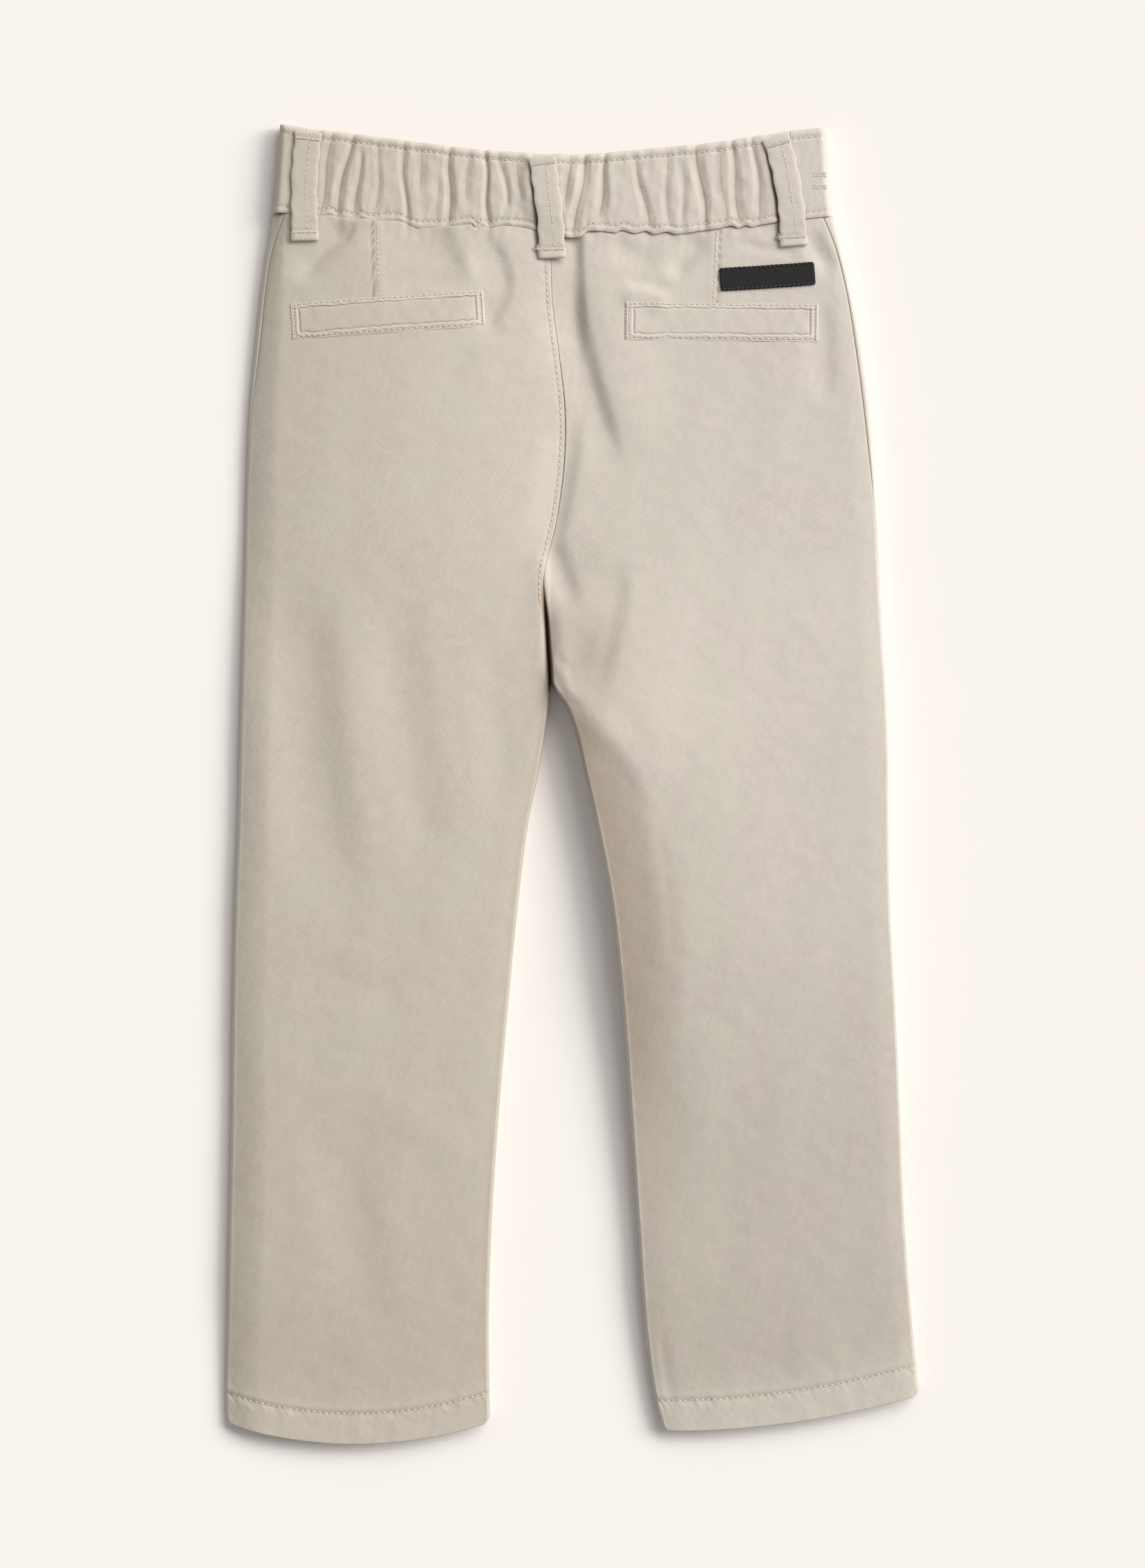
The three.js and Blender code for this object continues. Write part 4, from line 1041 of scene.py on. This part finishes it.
def front_band_place(side, u, v):
    """The front waistband: along the surface, round the side edge and on to the upper layer."""
    sign = SIGN[side]
    edge_x = outer_x(side, lerp(WAIST_SIDE_Y, WAIST_CORNER_Y, v))
    end_x = FRONT_OVERLAP_X + sign * SEAM_GAP / 2
    joint_x = BACK_WAISTBAND_LEFT_X if side == "left" else BACK_WAISTBAND_RIGHT_X
    flat = np.abs(edge_x - end_x) - WAISTBAND_BEAD
    arc = WAISTBAND_BEAD * np.pi
    over = np.abs(edge_x - joint_x) - WAISTBAND_BEAD - SEAM_GAP / 2
    s = u * (flat + arc + over)
    angle = np.clip(np.pi / 2 - (s - flat) / WAISTBAND_BEAD, -np.pi / 2, np.pi / 2)
    x = edge_x - sign * (WAISTBAND_BEAD - WAISTBAND_BEAD * np.cos(angle))
    x = np.where(s < flat, end_x + sign * s, x)
    x = np.where(s > flat + arc, edge_x - sign * (WAISTBAND_BEAD + s - flat - arc), x)
    y, z, tone = waistband_place(x, v)
    plain = lerp(seam_y(x) + SEAM_GAP / 2, top_y(x), v)
    upper = angle < 0
    reach = np.sin(np.abs(angle))
    z_upper = lerp(WAISTBAND_SEAM_HEIGHT, z - BUTTON_SHARE * button_room(x, y), reach)
    z_lower = WAISTBAND_SEAM_HEIGHT * (1 - reach) + button_room(x, plain)
    depth = top_y(x) - seam_y(x)
    from_seam, from_top = v * depth, (1 - v) * depth
    pressed = bump(from_seam, BOTTOM_STITCH_INSET, 0.8) + bump(from_top, TOP_STITCH_INSET, 0.8)
    pressed = 0.25 * pressed
    rolled = 0.8 * by_edge(from_seam, 1.2) ** 2 + 0.9 * by_edge(from_top, 1.8) ** 2
    z_lower = z_lower + pressed + rolled
    points = np.stack([x, np.where(upper, y, plain), np.where(upper, z_upper, z_lower)], -1)
    # on the lower face, painted shade in the stitches' dips
    return points, sign * s, np.where(upper, tone, -0.4 * pressed)


for side, steps, length in (("left", 190, 0.155), ("right", 170, 0.143)):
    u, v = np.meshgrid(np.linspace(0, 1, steps), stops((0.12, 10), (0.84, 20), (1.0, 12)))
    outer, s, tone = front_band_place(side, u, v)
    inner = offset_inwards(outer, WAISTBAND_WALL, -SIGN[side])
    name = "waistband_front_" + side
    weave = weave_at(s, outer[..., 1], BAND_TWILL_ANGLE)
    band = add_shell(name + "_cloth", outer, inner, twill, weave, tone)
    dress(name)


def cloth_top(x, y):
    """Height of the cloth at plan points: the waistband above its seam, or else a leg panel."""
    low, high = seam_y(x) + scallop(x), top_y(x)
    v = np.clip((y - low) / (high - low), 0, 1)
    band = waistband_place(x, v)[1]
    legs = np.where(x < inner_x("left", y), panel_height("left", x, y), panel_height("right", x, y))
    return np.where(y > low, band, legs)


def loop_line(spec, f):
    """Points on a belt loop's centre line, and its direction."""
    y = lerp(spec["y"][0], spec["y"][-1], f)
    x = loop_x(spec, y)
    return x, y, np.arctan2(np.gradient(x), -np.gradient(y))


LOOP_ROWS = 110
LOOP_AROUND = 36
LOOP_FLAP = 4.4  # length of the turned-in lower end
LOOP_FLAP_WALL = 0.35  # how much thicker it is
LOOP_HEAD_TACK = 3.2  # from the loop's upper end to its bar tack
LOOP_STITCH_X = 0.8
LOOP_HALF = 6.5  # half its width where its face rounds down, and where its edges begin
LOOP_EDGE = 5.6
LOOP_SMOOTHING = 17
LOOP_TWILL_ANGLE = 52


def loop_rest(x, y, turn):
    """Height that a loop rests at, smoothed along it: that of the highest cloth near by."""
    across = np.linspace(-0.5, 0.5, 7)[:, None] * LOOP_WIDTH
    px, py = x + across * np.cos(turn), y + across * np.sin(turn)
    rest = np.max([cloth_top(px, py + dy) for dy in (-3.6, -2.4, -1.2, 0, 1.2, 2.4, 3.6)], axis=(0, 1))
    padded = np.pad(rest, LOOP_SMOOTHING // 2, mode="edge")
    return np.convolve(padded, np.ones(LOOP_SMOOTHING) / LOOP_SMOOTHING, "valid")


def loop_face(a):
    """How the loop's face rises across its width, with the groove of its stitches."""
    return 0.14 * (1 - (a / LOOP_HALF) ** 2) - 0.12 * bump(a, LOOP_STITCH_X, 0.55)


def ring_faces(rows, around):
    """Faces of a tube whose two ends are closed."""
    at = np.arange(rows * around).reshape(rows, around)
    beside = np.roll(at, -1, axis=1)
    faces = np.stack([at[:-1], beside[:-1], beside[1:], at[1:]], -1).reshape(-1, 4)
    caps = []
    for ring in (at[0][::-1], at[-1]):
        caps += [(ring[k], ring[k + 1], ring[-k - 2], ring[-k - 1]) for k in range(around // 2 - 1)]
    return np.concatenate([faces, np.array(caps)])


def add_loop(name, spec):
    """A belt loop, and what its stitches need to know of its upper face."""
    f = np.linspace(0, 1, LOOP_ROWS)
    x, y, turn = loop_line(spec, f)
    length = np.hypot(np.diff(x), np.diff(y)).sum()
    from_head, from_end = f * length, (1 - f) * length
    lift = spec["lift"] * np.sin(np.pi * np.clip(f * 1.04 - 0.02, 0, 1)) ** 1.4
    bottom = loop_rest(x, y, turn) + SEAM_GAP + lift
    flap = LOOP_FLAP_WALL * fall(LOOP_FLAP - 1.0, LOOP_FLAP + 0.8, from_end)
    tuck = 0.5 * by_edge(from_end, 1.2) ** 2 + 0.5 * by_edge(from_head, 1.2) ** 2
    tack = 0.12 * bump(from_end, LOOP_FLAP + 0.6, 0.6) + 0.2 * bump(from_head, LOOP_HEAD_TACK, 0.8)
    thick = LOOP_WALL + flap - tuck

    around = np.linspace(0, 2 * np.pi, LOOP_AROUND, endpoint=False)
    ring_x = np.sign(np.cos(around)) * np.abs(np.cos(around)) ** 0.35
    ring_z = np.sign(np.sin(around)) * np.abs(np.sin(around)) ** 0.75
    widened = 1 + 0.035 * undulation(from_head, 0, 7, 41) + 0.05 * (from_end < LOOP_FLAP)
    a = (LOOP_WIDTH / 2 * widened)[:, None] * ring_x
    crown = loop_face(a) + 0.06 * bump(np.abs(a), 4.9, 1.0)
    crown = crown + 0.07 * undulation(a * 1.4, from_head[:, None], 6, 43) - tack[:, None]
    z = (bottom + thick / 2)[:, None] + ring_z * thick[:, None] / 2
    z = z + np.where(ring_z > 0, crown * np.abs(ring_z), 0)
    px, py = x[:, None] + a * np.cos(turn)[:, None], y[:, None] + a * np.sin(turn)[:, None]
    points = np.stack([px, py, z], -1)

    # tone: paler edges and folded end, painted shade along the stitch groove and at the fold above the flap
    tone = np.where(np.abs(a) > LOOP_EDGE, 0.2, 0) - 0.2 * bump(a, LOOP_STITCH_X, 0.5)
    tone = tone + 0.25 * (from_end < LOOP_FLAP)[:, None]
    tone = tone - 0.3 * bump(from_end, LOOP_FLAP + 0.7, 0.35)[:, None]
    weave = weave_at(a, -from_head[:, None], LOOP_TWILL_ANGLE).reshape(-1, 2)
    faces = ring_faces(LOOP_ROWS, LOOP_AROUND)
    loop = add_mesh(name + "_cloth", points.reshape(-1, 3), faces, twill, None, weave, tone.ravel())
    dress(name)
    return {"f": f, "x": x, "y": y, "turn": turn, "z": bottom + thick - tack + 0.1, "length": length}


loop_tops = {name: add_loop(name, spec) for name, spec in LOOPS.items()}


def patch_place(spec, a, b):
    """Plan points of a patch from distances along and across it."""
    turn = np.radians(spec["turn"])
    x = spec["x"] + a * np.cos(turn) - b * np.sin(turn)
    y = spec["y"] + a * np.sin(turn) + b * np.cos(turn)
    return x, y


def panel_top(side, x, y):
    """The panel's height under a patch, without its darts and finest creases."""
    return back_height(side, x, y) + fold_heights(CREASES, x, y)


POCKET_END, POCKET_FOOT, POCKET_HEAD = 3.9, 3.2, 2.6  # widths of the stitched border
POCKET_STITCH = 0.36  # the stitches' place, as a share of the border
POCKET_LIFT = 0.06
POCKET_DEPTH = 0.45  # how far its hidden side reaches into the panel
POCKET_TWILL_ANGLE = {"left": 62, "right": 55}


def pocket_height(spec, a, b):
    """The pocket's upper face over the panel: stitched rim, rolled border, crease and welt."""
    half_w, half_h = spec["width"] / 2, spec["height"] / 2
    sway = 0.25 * undulation(a, 0 * b, 16, 51) + 0.2 * undulation(a, b, 5, 52)
    end = half_w - np.abs(a) + 0.5 * sway
    foot = half_h + b + sway + 0.45 * undulation(a, 0 * b, 50, 54) * (b < 0)
    head = half_h - b + sway
    # distance outside the welt, in shares of the border that is nearest
    shares = np.stack([end / POCKET_END, foot / POCKET_FOOT, head / POCKET_HEAD])
    inside = shares.min(0)
    which = shares.argmin(0)
    border = np.clip(inside, 0, 1)
    rim = 0.12 * smooth(0, 0.5, border)
    ridge = 0.27 * bump(border, 0.72, 0.2)
    ends_ridge = 0.2 * bump(border, 0.22, 0.12) * (which == 0)
    pressed = -0.1 * bump(border, POCKET_STITCH, 0.09)
    crease = -0.3 * bump(inside, 1.02, 0.06)
    welt = 0.14 * smooth(1.0, 1.3, inside)
    height = rim + ridge + ends_ridge + pressed + crease + welt
    height = height + 0.05 * undulation(a, b, 8, 53) * smooth(0, 0.5, inside)
    # the opening gapes along the upper edge at one end of the pocket
    ends = bump(a * spec["gape"], half_w - 11, 8) + 0.6 * bump(a * spec["gape"], 9 - half_w, 6)
    gape = ends * bump(head / POCKET_HEAD, 1.06, 0.16)
    height = height - 0.55 * gape
    # tone: painted shade in the welt's crease and along the stitches, and a painted shadow in the gaping
    # opening; paler along the rolled border and the outer rim
    tone = -0.75 * bump(inside, 1.02, 0.055) - 0.9 * gape + 0.45 * bump(border, 0.7, 0.18)
    tone = tone - 0.2 * bump(border, POCKET_STITCH, 0.1) + 0.3 * fall(0, 0.25, border)
    return height, tone


def add_pocket(name, spec):
    side = name.split("_")[-1]
    half_w, half_h = spec["width"] / 2, spec["height"] / 2
    a, b = np.meshgrid(
        lerp(-half_w, half_w, stops((0.06, 18), (0.94, 150), (1.0, 18))),
        lerp(-half_h, half_h, stops((0.28, 18), (0.75, 14), (1.0, 16))),
    )
    x, y = patch_place(spec, a, b)
    rest = panel_top(side, x, y)
    height, tone = pocket_height(spec, a, b)
    outer = np.stack([x, y, rest + POCKET_LIFT + height], -1)
    inner = np.stack([x, y, rest - POCKET_DEPTH], -1)
    weave = weave_at(a, b, POCKET_TWILL_ANGLE[side])
    pocket = add_shell(name + "_cloth", outer, inner, twill, weave, tone)
    dress(name)


for name, spec in POCKETS.items():
    add_pocket(name, spec)

# The woven label, with edges drawn in a little by its stitches
LABEL_TOP = 1.0
LABEL_STITCH_PITCH = 2.12
LABEL_STITCHES = 20
LABEL_CORNER = 0.045  # share of half its length over which a corner is rounded
label_w, label_h = LABEL["width"] / 2, LABEL["height"] / 2


def label_bow(a):
    return 0.5 * undulation(a, 0 * a, 26, 61)


def add_label():
    a, b = np.meshgrid(np.linspace(-label_w, label_w, 150), np.linspace(-label_h, label_h, 36))
    pulled = 0.22 * np.abs(np.sin(np.pi * a / 2.1)) * np.abs(b / label_h) ** 6
    along_corner = np.clip(np.abs(a) / label_w - (1 - LABEL_CORNER), 0, 1) / LABEL_CORNER
    corner = 2.6 * along_corner**2 * np.abs(b / label_h) ** 8
    x, y = patch_place(LABEL, a, b * (1 - (pulled + 0.4 * corner) / label_h) + label_bow(a))
    rest = panel_top("right", x, y)
    from_long_edge = label_h - np.abs(b)
    from_edge = np.minimum(label_w - np.abs(a), from_long_edge)
    raised = LABEL_TOP - 0.45 * by_edge(from_edge, 0.6) ** 2 - 0.12 * bump(from_long_edge, 1.5, 0.5)
    raised = raised + 0.06 * undulation(a, b, 9, 62)
    outer, inner = np.stack([x, y, rest + raised], -1), np.stack([x, y, rest + 0.1], -1)
    tape = add_shell("label_tape", outer, inner, woven, np.stack([a, b], -1), np.zeros(a.shape))
    dress("label_patch")


add_label()


class Sewing:
    """Collects stitches into one mesh."""

    def __init__(self):
        self.points = []
        self.faces = []
        self.count = 0

    def tube(self, line, radii, sides=6, flat=1.0):
        """A closed tube along a line of points, with one radius or a radius at each."""
        line = np.asarray(line, float)
        radii = np.broadcast_to(radii, len(line))
        tangent = np.gradient(line, axis=0)
        tangent /= np.linalg.norm(tangent, axis=1, keepdims=True)
        across = np.cross(tangent, (0.0, 0.0, 1.0))
        size = np.linalg.norm(across, axis=1, keepdims=True)
        across = np.where(size > 1e-6, across / np.maximum(size, 1e-6), (1.0, 0.0, 0.0))
        up = np.cross(across, tangent)
        turn = np.linspace(0, 2 * np.pi, sides, endpoint=False)[None, :, None]
        ring = np.cos(turn) * across[:, None] + flat * np.sin(turn) * up[:, None]
        points = line[:, None] + ring * radii[:, None, None]
        self.points.append(points.reshape(-1, 3))
        self.faces.append(ring_faces(len(line), sides) + self.count)
        self.count += len(line) * sides

    def finish(self, name, material):
        piece = add_mesh(name, np.concatenate(self.points), np.concatenate(self.faces), material)


def lengths(line):
    return np.concatenate([[0], np.cumsum(np.linalg.norm(np.diff(line, axis=0), axis=1))])


def at_length(line, where, s):
    return np.stack([np.interp(s, where, line[:, i]) for i in range(3)], -1)


def sew(line, pitch=STITCH_PITCH, length=STITCH_LENGTH, radius=THREAD_RADIUS, up=1, holes=True):
    """A row of stitches along a line of points on the cloth. Each one dips into it at both ends."""
    line = np.asarray(line, float)
    where = lengths(line)
    f = np.linspace(0, 1, 6)
    for k in range(int(where[-1] / pitch)):
        start = k * pitch + random.uniform(-0.15, 0.15) + 0.3
        points = at_length(line, where, start + f * length * random.uniform(0.92, 1.04))
        points[:, 2] += up * (0.20 * np.sin(np.pi * f) - 0.14 + 0.03 * random.uniform(-1, 1))
        points[:, 0] += random.uniform(-0.1, 0.1) * np.linspace(-1, 1, 6)
        sewing.tube(points, radius * (0.45 + 0.55 * np.sin(np.pi * (f * 0.92 + 0.04)) ** 0.6))
        # a dark tube between stitches paints the shade in the needle holes
        if holes:
            gap = at_length(line, where, np.array([start + length + 0.02, start + pitch - 0.1]))
            gap[:, 2] += up * 0.02
            needle_hole_shade.tube(gap, HOLE_RADIUS, flat=0.5)


sewing = Sewing()
needle_hole_shade = Sewing()
random = np.random.default_rng(8)


def band_line(x0, x1, inset, from_top):
    """A line of stitches along the waistband, at a distance from its seam or its upper edge."""
    x = np.linspace(x0, x1, int(abs(x1 - x0) * 4))
    low, high = seam_y(x) + SEAM_GAP / 2 + scallop(x), top_y(x)
    v = 1 - inset / (high - low) if from_top else inset / (high - low)
    y, z, _ = waistband_place(x, v)
    return np.stack([x, y + 0.12 * undulation(x, 0 * x, 9, 71), z], -1)


for x0, x1 in ((-132.5, -127.6), (-114.9, -17.8), (-5.3, 91.3), (104.0, 116.2)):
    sew(band_line(x0, x1, BOTTOM_STITCH_INSET, False))
for x0, x1 in ((-129.5, -126.5), (-113.6, -20.3), (-7.3, 86.5), (99.5, 113.2)):
    sew(band_line(x0, x1, TOP_STITCH_INSET, True))


def panel_line(side, x, y):
    return np.stack([x, y, panel_height(side, x, y)], -1)


SEAM_STITCH_TOP, SEAM_STITCH_END = 237.5, 82
y = np.linspace(SEAM_STITCH_TOP, SEAM_STITCH_END, 600)
sew(panel_line("left", inner_x("left", y) - SEAM_STITCH_INSET, y), pitch=2.7)
for (x0, y0, x1, y1, sew_side), side in zip(zip(*DARTS.values()), ("left", "right")):
    f = np.linspace(0.03, 0.99, 200)
    x, y = lerp(x0, x1, f) + sew_side * DART_STITCH_INSET, lerp(y0, y1, f)
    sew(panel_line(side, x, y), pitch=2.4, length=1.8, radius=0.22)
for side in ("left", "right"):
    share = np.linspace(0.012, 0.988, 700)
    y = hem_y(side, share) + HEM_DEPTH
    x = lerp(inner_x(side, y), outer_x(side, y), share)
    line = panel_line(side, x, y)
    from_edge = np.minimum(np.abs(outer_x(side, y) - x), np.abs(x - inner_x(side, y)))
    roll = np.sqrt(1 - by_edge(from_edge, BEAD) ** 2)
    line[:, 2] = SEAM_HEIGHT + (line[:, 2] - SEAM_HEIGHT) * roll
    line[:, 1] += 0.15 * undulation(x, 0 * x, 7, 72)
    sew(line, pitch=2.7)
    under = np.stack([x, y, 0 * x + 0.12], -1)[from_edge > BEAD]
    sew(under, pitch=2.7, up=-1, holes=False)


def patch_line(spec, side, a, b, height):
    x, y = patch_place(spec, a, b)
    return np.stack([x, y, panel_top(side, x, y) + height(a, b)], -1)


def sew_pocket(side, spec):
    half_w, half_h = spec["width"] / 2, spec["height"] / 2
    inset_end, inset_foot, inset_head = (POCKET_STITCH * w for w in (POCKET_END, POCKET_FOOT, POCKET_HEAD))

    def rise(a, b):
        return POCKET_LIFT + pocket_height(spec, a, b)[0]

    a = np.linspace(-half_w + inset_end, half_w - inset_end, 500)
    sew(patch_line(spec, side, a, 0 * a - half_h + inset_foot, rise))
    sew(patch_line(spec, side, a, 0 * a + half_h - inset_head, rise), radius=0.24)
    b = np.linspace(-half_h + 0.4, half_h - 0.4, 120)
    for end in (-1, 1):
        for inset, pitch, length in ((0.9, 1.5, 1.3), (1.7, 1.7, 1.4)):
            line = patch_line(spec, side, 0 * b + end * (half_w - inset), b, rise)
            sew(line, pitch, length, radius=0.25, holes=False)


for name, spec in POCKETS.items():
    sew_pocket(name.split("_")[-1], spec)


def loop_surface(name, f, a):
    top = loop_tops[name]
    x, y, turn, z = (np.interp(f, top["f"], top[key]) for key in ("x", "y", "turn", "z"))
    z = z + loop_face(a) - 0.3 * np.clip((np.abs(a) - 5.4) / 0.9, 0, 1) ** 2
    return np.stack([x + a * np.cos(turn), y + a * np.sin(turn), z - 0.05], -1)


BAR_TACK_HALF = 5.6
BAR_TACK_TURNS = 30
for name, top in loop_tops.items():
    length = top["length"]
    f = np.linspace(0.05, 1 - (LOOP_FLAP + 0.8) / length, 200)
    sew(loop_surface(name, f, LOOP_STITCH_X + 0.25 * np.sin(9 * f)), radius=0.2)
    # zigzag bar tacks across the loop near both of its ends
    for place, depth in ((length - LOOP_FLAP + 0.2, 1.5), (LOOP_HEAD_TACK, 1.4)):
        turns = np.arange(BAR_TACK_TURNS)
        zig = (place + depth / 2 * np.where(turns % 2 == 0, 1, -1)) / length
        corners = loop_surface(name, zig, np.linspace(-BAR_TACK_HALF, BAR_TACK_HALF, BAR_TACK_TURNS))
        steps = np.linspace(0, BAR_TACK_TURNS - 1, 4 * BAR_TACK_TURNS)
        line = at_length(corners, turns, steps)
        line[:, 2] += 0.12 + 0.05 * np.cos(2 * np.pi * steps)
        sewing.tube(line, 0.19)

# Two small tacks on the plain stretch of the waistband, of three threads each
PLAIN_TACKS_Y = (276.2, 270.6)
PLAIN_TACK_LEFT_X, PLAIN_TACK_RIGHT_X = 109.4, 115.6
for tack_y in PLAIN_TACKS_Y:
    for k in range(3):
        x = np.linspace(PLAIN_TACK_LEFT_X, PLAIN_TACK_RIGHT_X, 24)
        y = tack_y + 0.75 * k + 0.1 * np.sin(x * 2 + k)
        z = waistband_place(x, (y - seam_y(x)) / (top_y(x) - seam_y(x)))[1]
        sewing.tube(np.stack([x, y, z + 0.05], -1), TACK_RADIUS)

# Loose thread ends at the lower left corners of two belt loops
LOOSE_ENDS = 7
for name in ("belt_loop_centre", "belt_loop_right"):
    f_end = 1 - (LOOP_FLAP - 0.6) / loop_tops[name]["length"]
    root = loop_surface(name, np.array([f_end]), np.array([-5.9]))[0]
    for k in range(LOOSE_ENDS):
        bend = np.linspace(0, 1, 8)
        reach = random.uniform(1.4, 3.2)
        lean = random.uniform(1.7, 2.9)
        x = root[0] + np.cos(lean) * reach * bend + 0.3 * np.sin(3 * bend + k)
        y = root[1] + random.uniform(-0.8, 0.8) + np.sin(lean) * reach * bend
        z = root[2] - 0.2 - 0.9 * bend + 0.5 * np.sin(np.pi * bend)
        sewing.tube(np.stack([x, y, z], -1), np.linspace(0.2, 0.08, 8))

# Front waistband, fly and buttonhole stitches, on the underside
for x0, x1 in ((-128, 1.2), (3.2, 110)):
    x = np.linspace(x0, x1, 500)
    for y in (seam_y(x) + SEAM_GAP / 2 + BOTTOM_STITCH_INSET, top_y(x) - TOP_STITCH_INSET):
        sew(np.stack([x, y, 0.12 + button_room(x, y)], -1), up=-1, holes=False)
FLY_X, FLY_TOP, FLY_BEND, FLY_END = -42.0, 246, 170, 136
fly_end_x = CENTRE_FRONT_X - 2
turn = np.linspace(0, np.pi / 2, 60)
fly_x = np.concatenate([np.full(80, FLY_X), fly_end_x + (FLY_X - fly_end_x) * np.cos(turn)])
fly_y = np.concatenate([np.linspace(FLY_TOP, FLY_BEND, 80), lerp(FLY_BEND, FLY_END, np.sin(turn))])
sew(np.stack([fly_x, fly_y, 0 * fly_x + 0.02], -1), up=-1, holes=False)
BUTTONHOLE_HALF_LENGTH, BUTTONHOLE_HALF_WIDTH, BUTTONHOLE_THREADS = 9.5, 1.3, 89
for turn in np.arange(BUTTONHOLE_THREADS) * 2 * np.pi / BUTTONHOLE_THREADS:
    out = np.linspace(-0.9, 0.9, 4)
    x = BUTTON_X + 1.0 + (BUTTONHOLE_HALF_LENGTH + out) * np.cos(turn)
    y = BUTTON_Y + (BUTTONHOLE_HALF_WIDTH + out) * np.sin(turn)
    z = button_room(x, y) - 0.02 - 0.06 * np.sin(np.linspace(0, np.pi, 4))
    sewing.tube(np.stack([x, y, z], -1), 0.16)

sewing.finish("stitching", thread)
needle_hole_shade.finish("needle_hole_shade", hole_shade)

# Stitches along the label's long edges
sewing = Sewing()
for edge in (-1, 1):
    for k in range(LABEL_STITCHES):
        f = np.linspace(0, 1, 5)
        a = 1.1 - label_w + k * LABEL_STITCH_PITCH + 0.9 * f
        x, y = patch_place(LABEL, a, edge * (label_h - 0.25 - f) + label_bow(a))
        z = panel_top("right", x, y) + LABEL_TOP + 0.02 + 0.12 * np.sin(np.pi * f)
        sewing.tube(np.stack([x, y, z], -1), 0.24)
sewing.finish("label_stitching", black_thread)

# The button keeps its solid form. Its four holes and thread are on the side that faces down.
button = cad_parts["button_front"]
button.data.materials.clear()
button.data.materials.append(horn)
for polygon in button.data.polygons:
    polygon.use_smooth = True
BUTTON_HOLE_HALF_X, BUTTON_HOLE_HALF_Y = 1.5, 1.1
sewing = Sewing()
for dy in (-BUTTON_HOLE_HALF_Y, BUTTON_HOLE_HALF_Y):
    for shift in (-0.22, 0, 0.22):
        x = BUTTON_X + np.linspace(-BUTTON_HOLE_HALF_X, BUTTON_HOLE_HALF_X, 10)
        z = 0.52 - 0.3 * np.sin(np.linspace(0, np.pi, 10))
        sewing.tube(np.stack([x, 0 * x + BUTTON_Y + dy + shift, z], -1), 0.16)
sewing.finish("button_thread", thread)

# Stage: a plain cream floor, just under the stitches on the underside
FLOOR_REACH = 3.0
FLOOR_DROP = 0.0003
cream = plain_material("cream_floor", (0.905, 0.862, 0.822), (0.900, 0.857, 0.817), 0.9, 40.0, 0.00001)
floor_mesh = bpy.data.meshes.new("floor")
floor_corners = [(FLOOR_REACH * x, FLOOR_REACH * y, 0) for x, y in ((-1, -1), (1, -1), (1, 1), (-1, 1))]
floor_mesh.from_pydata(floor_corners, [], [(0, 1, 2, 3)])
floor_mesh.materials.append(cream)
floor = bpy.data.objects.new("floor", floor_mesh)
bpy.context.scene.collection.objects.link(floor)
floor.location.z = -FLOOR_DROP

# Light: a soft key from the right, a weaker one nearer the top of the picture, and an even fill
world = bpy.data.worlds.new("fill")
world.use_nodes = True
set_inputs(world.node_tree.nodes["Background"], Color=(0.99, 0.993, 1.005, 1), Strength=0.345)
bpy.context.scene.world = world


def add_sun(name, energy, angle, elevation, azimuth):
    """A soft sun. Its azimuth is measured from +X towards +Y."""
    light = bpy.data.lights.new(name, "SUN")
    light.energy = energy
    light.angle = np.radians(angle)
    light.color = (1.0, 0.99, 0.97)
    sun = bpy.data.objects.new(name, light)
    sun.rotation_euler = (0, np.radians(90 - elevation), np.radians(azimuth))
    bpy.context.scene.collection.objects.link(sun)


add_sun("key", 2.56, 30, 31, 18)
add_sun("upper", 1.48, 34, 38, 56)

# The camera looks straight down. The picture's height at the cloth gives its distance.
PHOTO_HEIGHT = 0.71366
LENS, SENSOR = 85, 36
VIEWED_HEIGHT = 0.006  # of the cloth that the picture is in scale with
camera_data = bpy.data.cameras.new("camera")
camera_data.lens = LENS
camera_data.sensor_width = SENSOR
camera_data.clip_start = 0.05
camera_data.clip_end = 20
camera = bpy.data.objects.new("camera", camera_data)
camera.location = (0, 0, VIEWED_HEIGHT + LENS / SENSOR * PHOTO_HEIGHT)
bpy.context.scene.collection.objects.link(camera)
bpy.context.scene.camera = camera
bpy.context.scene.view_settings.view_transform = "Standard"
bpy.context.scene.view_settings.look = "None"
